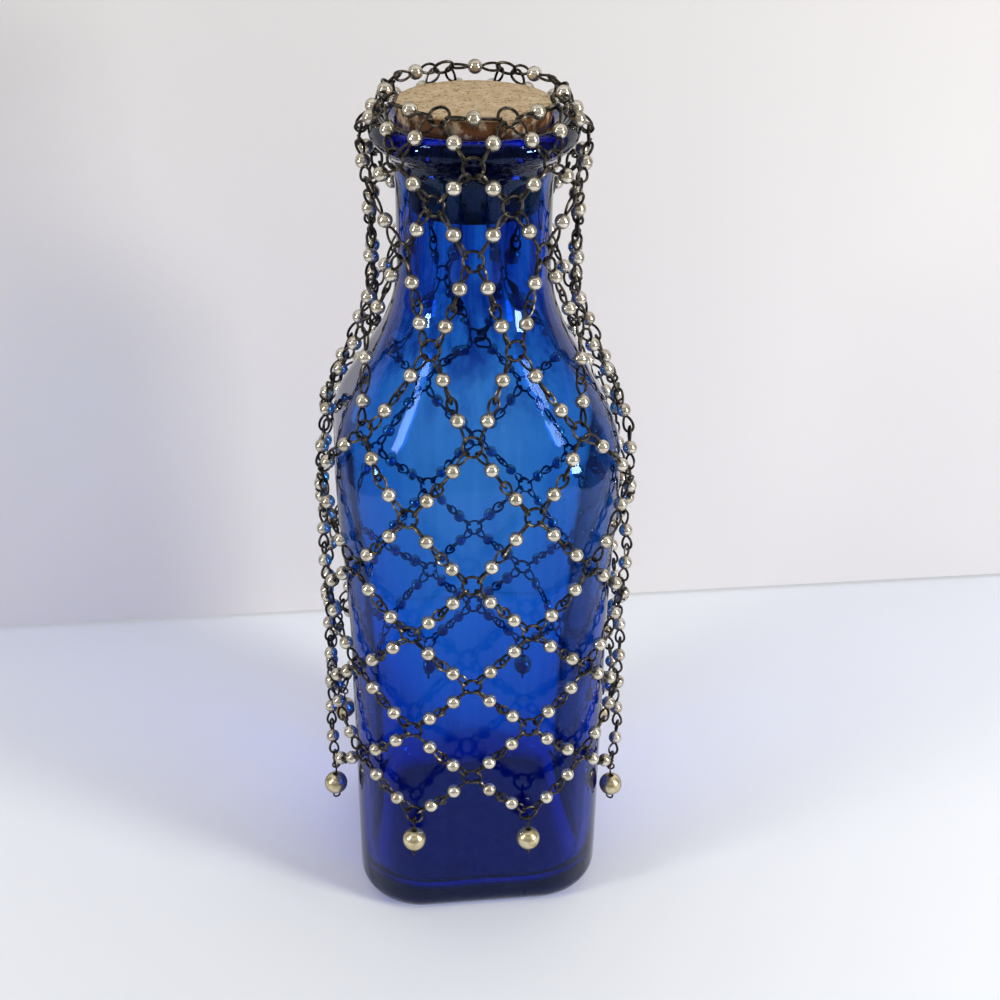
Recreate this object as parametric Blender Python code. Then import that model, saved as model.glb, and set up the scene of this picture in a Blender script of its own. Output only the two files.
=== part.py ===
"""Blue glass bottle with a tapered cork and a draped net of beads, wire links and rings.

Metres, +Z up. The origin is the middle of the foot on the surface that the bottle stands on. The four flat
sides of the bottle face along X and Y.

The net hangs from a collar of rings round the cork. Below it are rows of eight rings. Each row is one piece
here: its rings, and the bead links that run up from them and hook through the rings of the row above.
"""
import math

import bmesh
import bpy
from mathutils import Vector

# Clearance between pieces that touch on the real object
GAP = 0.0003

# Glass bottle: the widths and lengths of its straight body, swelling shoulder, neck and lip
BODY_WIDTH = 0.084
BODY_CORNER = 0.022
SHOULDER_SWELL = 0.005
SHOULDER_CORNER = 0.030
NECK_DIAMETER = 0.0462
LIP_FLARE = 0.0148
BODY_HEIGHT = 0.105
SHOULDER_RISE = 0.060
SHOULDER_FALL = 0.057
NECK_LENGTH = 0.026
LIP_LENGTH = 0.020
HEEL_RADIUS = 0.006
WALL = 0.0032
FLOOR_THICKNESS = 0.006
INNER_HEEL_RADIUS = 0.012
HEEL_STEPS = 3

SHOULDER_WIDTH = BODY_WIDTH + SHOULDER_SWELL
LIP_DIAMETER = NECK_DIAMETER + LIP_FLARE
SHOULDER_HEIGHT = BODY_HEIGHT + SHOULDER_RISE
NECK_HEIGHT = SHOULDER_HEIGHT + SHOULDER_FALL
LIP_START_HEIGHT = NECK_HEIGHT + NECK_LENGTH
LIP_TOP_HEIGHT = LIP_START_HEIGHT + LIP_LENGTH

# Points round a section of the glass, a multiple of four
GLASS_SIDES = 20

# Levels of the swelling body as shares of the climb to the shoulder
SWELL_SHARES = (0.5, 1.0)

# Shoulder curve: share of the climb from shoulder to neck, share of the width left over the neck
SHOULDER_SHARES = (
    (0.10, 0.985), (0.23, 0.880), (0.35, 0.720), (0.53, 0.458), (0.70, 0.215), (0.86, 0.070))

# Lip curve: share of the climb from its start to the top, share of the flare outside the neck
LIP_SHARES = (
    (0.30, 0.10), (0.53, 0.42), (0.68, 0.80), (0.82, 1.00), (0.93, 0.90))
LIP_FLAT_WIDTH = 0.0035
LIP_DISH = 0.0004

# Cork: a taper that fills the mouth and stands above it
NECK_WALL = 0.0033
CORK_TAPER = 0.0062
CORK_LENGTH = 0.0325
CORK_STAND = 0.0046
CORK_CHAMFER = 0.0008

CORK_FOOT_DIAMETER = NECK_DIAMETER - 2 * (NECK_WALL + GAP)
CORK_TOP_DIAMETER = CORK_FOOT_DIAMETER + CORK_TAPER

# Beads, wire and rings of the net
BEAD_DIAMETER = 0.0040
BEAD_GIRTH = 0.0044
BEAD_LENGTH = 0.0040
WIRE_DIAMETER = 0.0008
RING_RADIUS = 0.0030
RING_WIRE = 0.00040
EYE_RADIUS = 0.0014
EYE_WIRE = 0.00036
RING_SEGMENTS = 6
MITRE_LIMIT_SHARE = 0.6
TIE_SHARE = 0.999

# How a link hooks through the ring above it
HOOK_RISE = 0.0012
HOOK_REACH = 0.0015
HOOK_LEAN = 0.0007

# Layout of the net
COLUMNS = 8
HALF_COLUMN_SHARE = 0.5
NET_TURN = math.radians(-6.0)
COLLAR_SLACK = 0.0030
COLLAR_STAND = 0.0054
COLLAR_TILT = 0.0024
COLLAR_LEAN = math.radians(46)
LIP_BULGE = 0.0028
HEM_HEIGHT = 0.0505
NET_SLACK = 0.0022
HEM_FLARE = 0.0013
FLARE_RISE = 0.0345
SPREAD_DROP = 0.006
SPREAD_OVERHANG = 0.015

COLLAR_RADIUS = CORK_TOP_DIAMETER / 2 + COLLAR_SLACK
COLLAR_HEIGHT = LIP_TOP_HEIGHT + COLLAR_STAND
SPREAD_TOP_HEIGHT = LIP_TOP_HEIGHT - SPREAD_DROP
SPREAD_FOOT_HEIGHT = SHOULDER_HEIGHT - SPREAD_OVERHANG

# Height of each row of rings as a share of the climb from hem to collar, collar first
ROW_SHARES = (1.0, 0.950, 0.900, 0.829, 0.713, 0.601, 0.505, 0.404, 0.321, 0.236, 0.157, 0.076, 0.0)

# How far the columns crowd to the front and the back, neck rows first
SQUEEZE_SHARES = (0.06, 0.16, 0.16, 0.14, 0.10, 0.06, 0.06, 0.06, 0.06, 0.06, 0.06, 0.06, 0.06)

# Spread of the net from neck to body: share of the way down, share of the way out
SPREAD_SHARES = (
    (0.0, 0.0), (0.09, -0.02), (0.20, -0.13), (0.30, -0.15), (0.38, -0.06), (0.46, 0.10), (0.54, 0.29),
    (0.64, 0.55), (0.75, 0.82), (0.86, 0.98), (1.0, 1.0))

# Beads along a link chain, as shares of its length from the upper ring
SINGLE_BEAD_SHARES = (0.51,)
PAIR_BEAD_SHARES = (0.30, 0.71)
SINGLE_ROWS = 3

# Drops on the hem
DROP_BEAD_DIAMETER = 0.0080
DROP_BEAD_FALL = 0.0080
DROP_BORE_RADIUS = 0.00078
DROP_SIDES = 8
DROP_LEVELS = 4

# Finishes: colour, roughness, metallic, transmission
FINISHES = {
    "cobalt_glass": ((0.006, 0.055, 0.46, 1.0), 0.03, 0.0, 0.9),
    "pressed_cork": ((0.46, 0.31, 0.18, 1.0), 0.85, 0.0, 0.0),
    "dark_wire": ((0.10, 0.08, 0.06, 1.0), 0.38, 1.0, 0.0),
    "bead_net": ((0.62, 0.58, 0.50, 1.0), 0.22, 1.0, 0.0),
    "gold_bead": ((0.70, 0.62, 0.42, 1.0), 0.16, 1.0, 0.0),
}


def lerp(low, high, share):
    """Value at a share of the way from low to high."""
    return low + (high - low) * share


def read_table(table, key):
    """Second column of a table at a key of its first column, straight between rows."""
    if key <= table[0][0]:
        return table[0][1]
    for (key_a, value_a), (key_b, value_b) in zip(table, table[1:]):
        if key <= key_b:
            return lerp(value_a, value_b, (key - key_a) / (key_b - key_a))
    return table[-1][1]


def make_material(name):
    """Principled material of one finish."""
    colour, roughness, metallic, transmission = FINISHES[name]
    material = bpy.data.materials.new(name)
    material.use_nodes = True
    shader = material.node_tree.nodes["Principled BSDF"]
    shader.inputs["Base Color"].default_value = colour
    shader.inputs["Roughness"].default_value = roughness
    shader.inputs["Metallic"].default_value = metallic
    shader.inputs["Transmission Weight"].default_value = transmission
    return material


def make_object(name, mesh_builder, finish, origin=None, smooth_angle=None):
    """Turn a bmesh in world space into an object whose own origin is at the given point."""
    place = origin or Vector()
    bmesh.ops.recalc_face_normals(mesh_builder, faces=mesh_builder.faces)
    for vertex in mesh_builder.verts:
        vertex.co -= place
    mesh = bpy.data.meshes.new(name)
    mesh_builder.to_mesh(mesh)
    mesh_builder.free()
    if smooth_angle is not None:
        mesh.shade_smooth()
        mesh.set_sharp_from_angle(angle=smooth_angle)
    mesh.materials.append(bpy.data.materials.get(finish) or make_material(finish))
    thing = bpy.data.objects.new(name, mesh)
    thing.location = place
    bpy.context.scene.collection.objects.link(thing)
    return thing


def make_empty(name, place=None):
    """Empty that carries a moving group."""
    empty = bpy.data.objects.new(name, None)
    empty.location = place or Vector()
    bpy.context.scene.collection.objects.link(empty)
    return empty


def hang(thing, carrier):
    """Parent a thing to its carrier without moving it."""
    thing.location = thing.location - carrier.location
    thing.parent = carrier


def rounded_square_radius(half, corner, angle):
    """Distance from the middle of a rounded square to its outline in one direction."""
    turn = angle % (math.pi / 2)
    turn = min(turn, math.pi / 2 - turn)
    inset = half - corner
    if half * math.tan(turn) <= inset:
        return half / math.cos(turn)
    lean = inset * (math.cos(turn) + math.sin(turn))
    return lean + math.sqrt(lean * lean - 2 * inset * inset + corner * corner)


def corner_reach(half, corner):
    """Distance from the middle of a rounded square to the middle of a corner."""
    return (half - corner) * math.sqrt(2) + corner


def corner_for_reach(half, reach):
    """Corner radius that gives a rounded square a wanted corner reach."""
    return min(half, (half * math.sqrt(2) - reach) / (math.sqrt(2) - 1))


def section_loop(mesh_builder, half, corner, height):
    """Ring of vertices round a rounded square, evenly shared among its corners."""
    per_corner = GLASS_SIDES // 4
    inset = half - corner
    loop = []
    for quarter in range(4):
        centre_turn = math.radians(45 + 90 * quarter)
        centre_x = inset * math.copysign(1, math.cos(centre_turn))
        centre_y = inset * math.copysign(1, math.sin(centre_turn))
        for step in range(per_corner):
            share = (step + 0.5) / per_corner
            turn = math.radians(90 * (quarter + share))
            if inset > GAP:
                turn = math.radians(90 * (quarter + step / (per_corner - 1)))
            loop.append(mesh_builder.verts.new(
                (centre_x + corner * math.cos(turn), centre_y + corner * math.sin(turn), height)))
    return loop


def join_loops(mesh_builder, loop_a, loop_b):
    """Band of four-sided faces between two loops that start at the same direction."""
    count = len(loop_a)
    for index in range(count):
        following = (index + 1) % count
        mesh_builder.faces.new((loop_a[index], loop_a[following], loop_b[following], loop_b[index]))


def glass_outer_levels():
    """Outside of the glass from the foot up: half width, corner radius and height of each level."""
    half = BODY_WIDTH / 2
    levels = []
    for step in range(HEEL_STEPS + 1):
        turn = math.pi / 2 * step / HEEL_STEPS
        inward = HEEL_RADIUS * (1 - math.sin(turn))
        levels.append((half - inward, BODY_CORNER - inward, HEEL_RADIUS * (1 - math.cos(turn))))
    levels.append((half, BODY_CORNER, BODY_HEIGHT))
    for share in SWELL_SHARES:
        ease = share * share * (3 - 2 * share)
        levels.append((
            lerp(half, SHOULDER_WIDTH / 2, ease),
            lerp(BODY_CORNER, SHOULDER_CORNER, ease),
            lerp(BODY_HEIGHT, SHOULDER_HEIGHT, share)))
    neck = NECK_DIAMETER / 2
    for climb, left in SHOULDER_SHARES:
        level_half = lerp(neck, SHOULDER_WIDTH / 2, left)
        roundness = lerp(1, SHOULDER_CORNER / (SHOULDER_WIDTH / 2), left)
        levels.append((level_half, level_half * roundness, lerp(SHOULDER_HEIGHT, NECK_HEIGHT, climb)))
    levels.append((neck, neck, NECK_HEIGHT))
    levels.append((neck, neck, LIP_START_HEIGHT))
    for climb, flare in LIP_SHARES:
        radius = lerp(neck, LIP_DIAMETER / 2, flare)
        levels.append((radius, radius, lerp(LIP_START_HEIGHT, LIP_TOP_HEIGHT, climb)))
    flat = LIP_DIAMETER / 2 - LIP_FLAT_WIDTH
    levels.append((flat, flat, LIP_TOP_HEIGHT))
    return levels


def cork_radius(height):
    """Radius of the cork's taper at a height."""
    top = LIP_TOP_HEIGHT + CORK_STAND
    share = (top - height) / CORK_LENGTH
    return lerp(CORK_TOP_DIAMETER, CORK_FOOT_DIAMETER, share) / 2


def glass_inner_levels():
    """Inside of the glass from the mouth down to the floor."""
    cork_foot = LIP_TOP_HEIGHT + CORK_STAND - CORK_LENGTH
    dish_height = LIP_TOP_HEIGHT - LIP_DISH
    mouth = cork_radius(dish_height) + GAP
    bore = cork_radius(cork_foot) + GAP
    levels = [(mouth + LIP_DISH, mouth + LIP_DISH, dish_height), (mouth, mouth, dish_height - LIP_DISH)]
    levels.append((bore, bore, cork_foot))
    levels.append((bore, bore, NECK_HEIGHT))
    outside = [level for level in glass_outer_levels() if BODY_HEIGHT <= level[2] < NECK_HEIGHT]
    for half, corner, height in reversed(outside[::2]):
        inner = max(half - WALL, bore)
        levels.append((inner, min(inner, max(corner - WALL, bore * (corner >= half))), height - WALL / 2))
    half = BODY_WIDTH / 2 - WALL
    corner = BODY_CORNER - WALL
    for step in range(HEEL_STEPS):
        turn = math.pi / 2 * step / HEEL_STEPS
        inward = INNER_HEEL_RADIUS * (1 - math.cos(turn))
        levels.append((
            half - inward, corner - inward * corner / half,
            FLOOR_THICKNESS + INNER_HEEL_RADIUS * (1 - math.sin(turn))))
    return levels


def glass_reach(height):
    """Widest half width and corner reach of the glass beside a bead, or up to the neck above it."""
    low = height - BEAD_DIAMETER / 2
    high = height + BEAD_DIAMETER / 2
    levels = glass_outer_levels()
    widest = []
    for measure in (lambda level: level[0], lambda level: corner_reach(level[0], level[1])):
        table = [(level[2], measure(level)) for level in levels]
        above = [value for key, value in table if low < key < NECK_HEIGHT]
        widest.append(max([read_table(table, low), read_table(table, high)] + above))
    return widest


def build_glass():
    """Hollow bottle: one skin that runs up the outside, over the lip and down to the inner floor."""
    mesh_builder = bmesh.new()
    levels = glass_outer_levels() + glass_inner_levels()
    loops = [section_loop(mesh_builder, half, corner, height) for half, corner, height in levels]
    for loop_a, loop_b in zip(loops, loops[1:]):
        join_loops(mesh_builder, loop_a, loop_b)
    mesh_builder.faces.new(loops[0])
    mesh_builder.faces.new(loops[-1])
    return make_object("glass_bottle", mesh_builder, "cobalt_glass", smooth_angle=math.radians(35))


def build_cork():
    """Tapered cork with a small chamfer at each end."""
    mesh_builder = bmesh.new()
    top = LIP_TOP_HEIGHT + CORK_STAND
    foot = top - CORK_LENGTH
    levels = [
        (cork_radius(foot) - CORK_CHAMFER, foot),
        (cork_radius(foot + CORK_CHAMFER), foot + CORK_CHAMFER),
        (cork_radius(top - CORK_CHAMFER), top - CORK_CHAMFER),
        (cork_radius(top) - CORK_CHAMFER, top),
    ]
    loops = [section_loop(mesh_builder, radius, radius, height) for radius, height in levels]
    for loop_a, loop_b in zip(loops, loops[1:]):
        join_loops(mesh_builder, loop_a, loop_b)
    mesh_builder.faces.new(loops[0])
    mesh_builder.faces.new(loops[-1])
    return make_object(
        "cork_stopper", mesh_builder, "pressed_cork", origin=Vector((0, 0, foot)),
        smooth_angle=math.radians(35))


def net_half(height):
    """Half width of the net's bead line where it hangs, from the neck down to the hem."""
    side_clearance = BEAD_DIAMETER / 2 + GAP
    neck = LIP_DIAMETER / 2 + side_clearance
    body = SHOULDER_WIDTH / 2 + side_clearance + NET_SLACK
    down = (SPREAD_TOP_HEIGHT - height) / (SPREAD_TOP_HEIGHT - SPREAD_FOOT_HEIGHT)
    half = lerp(neck, body, read_table(SPREAD_SHARES, down))
    flare = (HEM_HEIGHT + FLARE_RISE - height) / FLARE_RISE
    return half + HEM_FLARE * min(1, max(0, flare))


def net_point(angle, height):
    """Point of the net's surface in one direction, measured from the front towards +X."""
    clearance = BEAD_DIAMETER / 2 + GAP
    glass_half, glass_corner = glass_reach(height)
    half = max(net_half(height), glass_half + clearance)
    reach = max(half, glass_corner + clearance)
    radius = rounded_square_radius(half, corner_for_reach(half, reach), angle)
    return Vector((radius * math.sin(angle), -radius * math.cos(angle), height))


def row_offset(row):
    """Every second row of rings is half a column round from the row above."""
    return HALF_COLUMN_SHARE if row % 2 == 0 else 0


def row_angle(row, column):
    """Direction of a ring: columns crowd a little towards the front and the back."""
    even = 2 * math.pi * column / COLUMNS
    return even - SQUEEZE_SHARES[row] * math.sin(2 * even) / 2 + NET_TURN


def row_height(row, angle):
    """Height of a row of rings. The collar climbs towards the back."""
    height = lerp(HEM_HEIGHT, COLLAR_HEIGHT, ROW_SHARES[row])
    if row == 0:
        height += COLLAR_TILT * (1 - math.cos(angle)) / 2
    return height


def collar_point(angle):
    """Centre of the collar's bead line in one direction."""
    height = row_height(0, angle)
    return Vector((COLLAR_RADIUS * math.sin(angle), -COLLAR_RADIUS * math.cos(angle), height))


def link_point(row, column, step, share):
    """Point on a link chain, from the ring above at share 0 to the ring of this row at share 1."""
    angle_a = row_angle(row - 1, column + step)
    angle_b = row_angle(row, column)
    angle = lerp(angle_a, angle_b, share)
    height = lerp(row_height(row - 1, angle_a), row_height(row, angle_b), share)
    if row > 1:
        return net_point(angle, height)
    upper = COLLAR_RADIUS
    lower = net_point(angle_b, row_height(1, angle_b)).xy.length
    radius = lerp(upper, lower, share) + LIP_BULGE * 4 * share * (1 - share)
    return Vector((radius * math.sin(angle), -radius * math.cos(angle), height))


def ring_frame(row, column):
    """Centre of a ring with its side, up and out directions in the net's surface."""
    angle = row_angle(row, column)
    if row == 0:
        side = Vector((math.cos(angle), math.sin(angle), 0))
        level_out = Vector((math.sin(angle), -math.cos(angle), 0))
        out = level_out * math.cos(COLLAR_LEAN) + Vector((0, 0, math.sin(COLLAR_LEAN)))
        return collar_point(angle), side, out.cross(side), out
    height = row_height(row, angle)
    turn_step = BEAD_DIAMETER / COLLAR_RADIUS
    side = net_point(angle + turn_step, height) - net_point(angle - turn_step, height)
    rise = net_point(angle, height + BEAD_DIAMETER) - net_point(angle, height - BEAD_DIAMETER)
    side.normalize()
    out = side.cross(rise).normalized()
    return net_point(angle, height), side, out.cross(side), out


def add_ring(mesh_builder, centre, side, up, radius, wire, phase=0):
    """Closed wire ring of three-sided section. Returns its outer faces, counted from the phase angle."""
    out = side.cross(up)
    stations = []
    for index in range(RING_SEGMENTS):
        turn = phase + 2 * math.pi * index / RING_SEGMENTS
        ray = side * math.cos(turn) + up * math.sin(turn)
        corners = []
        for corner in range(3):
            lean = math.radians(60 + 120 * corner)
            offset = ray * (radius + wire * math.cos(lean)) + out * (wire * math.sin(lean))
            corners.append(mesh_builder.verts.new(centre + offset))
        stations.append(corners)
    outer_loops = []
    for index, station in enumerate(stations):
        following = stations[(index + 1) % RING_SEGMENTS]
        for corner in (0, 1):
            mesh_builder.faces.new(
                (station[corner], station[corner + 1], following[corner + 1], following[corner]))
        outer_loops.append((station[2], station[0], following[0], following[2]))
    return outer_loops


def cap_loops(mesh_builder, loops):
    """Close loops of four vertices that no tube starts from."""
    for loop in loops:
        mesh_builder.faces.new(loop)


def facing(loop):
    """Direction that a loop of vertices runs round."""
    first, second, third = (vertex.co for vertex in loop[:3])
    return (second - first).cross(third - first)


def best_turn(loop, target):
    """The loop turned so that its vertices lie nearest to the target's. The first of equals is kept."""
    best = list(loop)
    best_cost = math.inf
    for turn in range(len(loop)):
        order = loop[turn:] + loop[:turn]
        cost = sum((a.co - b.co).length for a, b in zip(order, target))
        if cost < best_cost * TIE_SHARE:
            best, best_cost = order, cost
    return best


def join_port(mesh_builder, port, triangle):
    """Close the space between a ring's loop of four and a tube's loop of three."""
    four = list(port)
    if facing(four).dot(facing(triangle)) < 0:
        four.reverse()
    a, b, c, d = best_turn(four, triangle + [triangle[-1]])
    e, f, g = triangle
    for face in ((a, b, f, e), (b, c, g, f), (c, d, g), (d, a, e, g)):
        mesh_builder.faces.new(face)


def add_tube(mesh_builder, start_loop, end_loop, stations, across):
    """Three-sided tube through stations of (point, radius), joined at its ends to two loops of four."""
    points = [station[0] for station in stations]
    loops = []
    for index, (point, radius) in enumerate(stations):
        back = (point - points[index - 1]).normalized() if index else None
        ahead = (points[index + 1] - point).normalized() if index + 1 < len(points) else None
        along = ((back or ahead) + (ahead or back)).normalized()
        mitre = 1 / max(MITRE_LIMIT_SHARE, along.dot(ahead or back))
        across = (across - along * across.dot(along)).normalized()
        over = along.cross(across)
        loops.append([])
        for corner in range(3):
            turn = math.radians(90 + 120 * corner)
            offset = across * math.cos(turn) + over * (mitre * math.sin(turn))
            loops[-1].append(mesh_builder.verts.new(point + offset * radius))
    for index in range(1, len(loops)):
        loops[index] = best_turn(loops[index], loops[index - 1])
    for loop_a, loop_b in zip(loops, loops[1:]):
        join_loops(mesh_builder, loop_a, loop_b)
    join_port(mesh_builder, start_loop, loops[0])
    join_port(mesh_builder, end_loop, loops[-1])


def bead_stations(point_at, length, share):
    """Thin, wide and thin section of one bead on a link."""
    reach = BEAD_LENGTH / 2 / length
    return [
        (point_at(share - reach), WIRE_DIAMETER / 2),
        (point_at(share), BEAD_GIRTH / 2),
        (point_at(share + reach), WIRE_DIAMETER / 2),
    ]


def chain_stations(row, column, step):
    """Stations of one link chain from the hook at the ring above down to the ring of this row."""
    shares = SINGLE_BEAD_SHARES if row <= SINGLE_ROWS else PAIR_BEAD_SHARES
    centre, side, up, out = ring_frame(row - 1, column + step)
    face = out * (1 if step > 0 else -1)
    low_wire = RING_RADIUS * math.cos(math.pi / RING_SEGMENTS)
    hook = centre - up * (low_wire - HOOK_RISE) + face * HOOK_REACH
    length = (link_point(row, column, step, 1) - link_point(row, column, step, 0)).length
    stations = [(hook, WIRE_DIAMETER / 2)]
    for share in shares:
        stations += bead_stations(lambda at: link_point(row, column, step, at), length, share)
    point, radius = stations[1]
    stations[1] = (point + face * HOOK_LEAN, radius)
    return stations


def build_row(row):
    """One row of rings with the link chains that hook through the rings of the row above."""
    mesh_builder = bmesh.new()
    offset = row_offset(row)
    outer = []
    faces_out = []
    for index in range(COLUMNS):
        centre, side, up, out = ring_frame(row, index + offset)
        outer.append(add_ring(mesh_builder, centre, side, up, RING_RADIUS, RING_WIRE))
        faces_out.append(out)
    for index in range(COLUMNS):
        following = (index + 1) % COLUMNS
        rising = chain_stations(row, index + offset, HALF_COLUMN_SHARE)
        falling = chain_stations(row, index + 1 + offset, -HALF_COLUMN_SHARE)
        stations = list(reversed(rising)) + falling
        add_tube(mesh_builder, outer[index][0], outer[following][2], stations, faces_out[index])
    for loops in outer:
        cap_loops(mesh_builder, [loops[1]] + loops[3:])
    return make_object(f"net_row_{row:02d}", mesh_builder, "bead_net")


def build_collar():
    """Rings and bead links of the collar, each a piece of its own, threaded through each other."""
    pieces = []
    for index in range(COLUMNS):
        mesh_builder = bmesh.new()
        centre, side, up, out = ring_frame(0, index + row_offset(0))
        cap_loops(mesh_builder, add_ring(mesh_builder, centre, side, up, RING_RADIUS, RING_WIRE))
        pieces.append(make_object(f"collar_ring_{index + 1}", mesh_builder, "dark_wire"))
        pieces.append(build_collar_link(index))
    return pieces


def build_collar_link(index):
    """Bead on a wire with an eye at each end, from one collar ring to the next."""
    mesh_builder = bmesh.new()
    centre_a, side_a, up_a, out_a = ring_frame(0, index + row_offset(0))
    centre_b, side_b, up_b, out_b = ring_frame(0, index + 1 + row_offset(0))
    eye_a = centre_a + side_a * RING_RADIUS
    eye_b = centre_b - side_b * RING_RADIUS
    bow = collar_point(row_angle(0, index + 1)) - eye_a.lerp(eye_b, 0.5)
    along = (eye_b - eye_a).normalized()
    out = (out_a + out_b).normalized()
    out = (out - along * out.dot(along)).normalized()
    phase = -math.pi / RING_SEGMENTS
    loops_a = add_ring(mesh_builder, eye_a, along, out, EYE_RADIUS, EYE_WIRE, phase)
    loops_b = add_ring(mesh_builder, eye_b, -along, out, EYE_RADIUS, EYE_WIRE, phase)
    length = (eye_b - eye_a).length
    stations = bead_stations(lambda at: eye_a.lerp(eye_b, at) + bow, length, 0.5)
    add_tube(mesh_builder, loops_a[0], loops_b[0], stations, out)
    cap_loops(mesh_builder, loops_a[1:] + loops_b[1:])
    return make_object(f"collar_link_{index + 1}", mesh_builder, "bead_net")


def drop_pivot(column):
    """Middle of the bottom wire of a hem ring, with the level directions out from and along the hem."""
    centre, side, up, out = ring_frame(len(ROW_SHARES) - 1, column)
    pivot = centre - up * (RING_RADIUS * math.cos(math.pi / RING_SEGMENTS))
    level_out = Vector((out.x, out.y, 0)).normalized()
    return pivot, level_out, Vector((side.x, side.y, 0)).normalized()


def build_drop(index):
    """Large bead on a wire that swings from a hem ring, with a small loop of wire under it."""
    pivot, out, side = drop_pivot(index + HALF_COLUMN_SHARE)
    down = Vector((0, 0, -1))
    bead_centre = pivot + down * DROP_BEAD_FALL
    loop_centre = bead_centre + down * (DROP_BEAD_DIAMETER / 2 + GAP + EYE_RADIUS + EYE_WIRE)
    mesh_builder = bmesh.new()
    phase = -math.pi / RING_SEGMENTS
    top_eye = add_ring(mesh_builder, pivot, down, out, EYE_RADIUS, EYE_WIRE, phase)
    low_eye = add_ring(mesh_builder, loop_centre, -down, out, EYE_RADIUS, EYE_WIRE, phase)
    stem_top = bead_centre - down * (DROP_BEAD_DIAMETER / 2 + GAP)
    stem_foot = bead_centre + down * (DROP_BEAD_DIAMETER / 2)
    stations = [(stem_top, WIRE_DIAMETER / 2), (stem_foot, WIRE_DIAMETER / 2)]
    add_tube(mesh_builder, top_eye[0], low_eye[0], stations, out)
    cap_loops(mesh_builder, top_eye[1:] + low_eye[1:])
    wire = make_object(f"drop_wire_{index + 1}", mesh_builder, "dark_wire", origin=pivot)
    bead = build_drop_bead(index, bead_centre, side, out)
    hang(bead, wire)
    return wire


def build_drop_bead(index, centre, side, out):
    """Round bead with a bore for its wire."""
    mesh_builder = bmesh.new()
    radius = DROP_BEAD_DIAMETER / 2
    rim = math.asin(DROP_BORE_RADIUS / radius)
    loops = []
    for level in range(DROP_LEVELS + 1):
        turn = lerp(rim, math.pi - rim, level / DROP_LEVELS)
        loops.append([])
        for step in range(DROP_SIDES):
            spin = 2 * math.pi * step / DROP_SIDES
            ray = side * math.cos(spin) + out * math.sin(spin)
            offset = ray * (radius * math.sin(turn)) + Vector((0, 0, radius * math.cos(turn)))
            loops[-1].append(mesh_builder.verts.new(centre + offset))
    for loop_a, loop_b in zip(loops, loops[1:] + loops[:1]):
        join_loops(mesh_builder, loop_a, loop_b)
    return make_object(
        f"drop_bead_{index + 1}", mesh_builder, "gold_bead", origin=centre, smooth_angle=math.radians(60))


def main():
    """Clear the scene and build every piece."""
    for old in list(bpy.data.objects):
        bpy.data.objects.remove(old, do_unlink=True)
    build_glass()
    build_cork()
    net = make_empty("net_carrier")
    for piece in build_collar():
        hang(piece, net)
    for row in range(1, len(ROW_SHARES)):
        hang(build_row(row), net)
    for index in range(COLUMNS):
        hang(build_drop(index), net)
    triangles = 0
    for thing in bpy.data.objects:
        if thing.type == "MESH":
            thing.data.calc_loop_triangles()
            triangles += len(thing.data.loop_triangles)
    print("triangles in all:", triangles)


main()
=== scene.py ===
"""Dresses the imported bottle: cobalt glass, pressed cork and a net of beads, wire links and rings.

Everything is in metres, +Z up, with the origin under the middle of the bottle's foot. The sizes repeat those
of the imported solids, so that each fine piece sits where its solid is.
"""

import logging
import math
import random
from collections.abc import Iterable, Sequence
from dataclasses import dataclass, field
from enum import Enum

import bpy
from mathutils import Matrix, Vector

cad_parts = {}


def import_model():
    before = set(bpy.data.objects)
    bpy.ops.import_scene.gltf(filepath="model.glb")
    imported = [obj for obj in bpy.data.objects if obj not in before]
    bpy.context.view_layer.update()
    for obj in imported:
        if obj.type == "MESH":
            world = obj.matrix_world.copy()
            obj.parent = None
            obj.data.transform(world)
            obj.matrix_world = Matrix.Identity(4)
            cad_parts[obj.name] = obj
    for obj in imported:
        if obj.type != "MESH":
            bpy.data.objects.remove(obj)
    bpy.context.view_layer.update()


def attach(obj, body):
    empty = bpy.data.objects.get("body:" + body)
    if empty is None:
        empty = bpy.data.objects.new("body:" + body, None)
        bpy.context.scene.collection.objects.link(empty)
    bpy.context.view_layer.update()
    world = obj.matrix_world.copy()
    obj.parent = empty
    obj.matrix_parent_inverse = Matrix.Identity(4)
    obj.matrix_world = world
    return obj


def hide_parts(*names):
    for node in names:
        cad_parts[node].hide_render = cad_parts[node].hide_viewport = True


LOG = logging.getLogger("bottle")
# Space that the net keeps from the glass.
GAP = 0.0003
WHITE = "#FFFFFF"
DOWN = Vector((0, 0, -1))
# Colour sockets of the Mix node by number, because their names repeat for each kind of data.
MIX_FACTOR, MIX_A, MIX_B, MIX_RESULT = 0, 6, 7, 2

Colour = tuple[float, float, float, float]
Place = tuple[float, float, float]
Level = tuple[float, float, float]
Range = tuple[float, float]
Table = Sequence[tuple[float, float]]
Stops = Sequence[tuple[float, str]]
Inputs = dict[str | int, object]
# Height of a wave, how often it goes round the bottle, how fast it turns with height, and its phase.
Wave = tuple[float, int, float, float]


class Body(Enum):
    """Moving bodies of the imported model."""

    BOTTLE = "bottle"
    CORK = "cork"
    NET = "net"


class Slot(Enum):
    """Material slots of the record."""

    GLASS = "cobalt_glass"
    CORK = "pressed_cork"
    WIRE = "dark_wire"
    BEAD = "bead_net"
    GOLD = "gold_bead"


def linear(hex_colour: str) -> Colour:
    """Turn an sRGB hex colour into linear light.

    Args:
        hex_colour: Six hex digits, with or without a leading hash.

    Returns:
        Red, green and blue as linear light, and full alpha.
    """
    digits = hex_colour.lstrip("#")
    channels = []
    for start in (0, 2, 4):
        value = int(digits[start:start + 2], 16) / 255
        channels.append(value / 12.92 if value <= 0.04045 else ((value + 0.055) / 1.055) ** 2.4)
    return (channels[0], channels[1], channels[2], 1.0)


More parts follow.
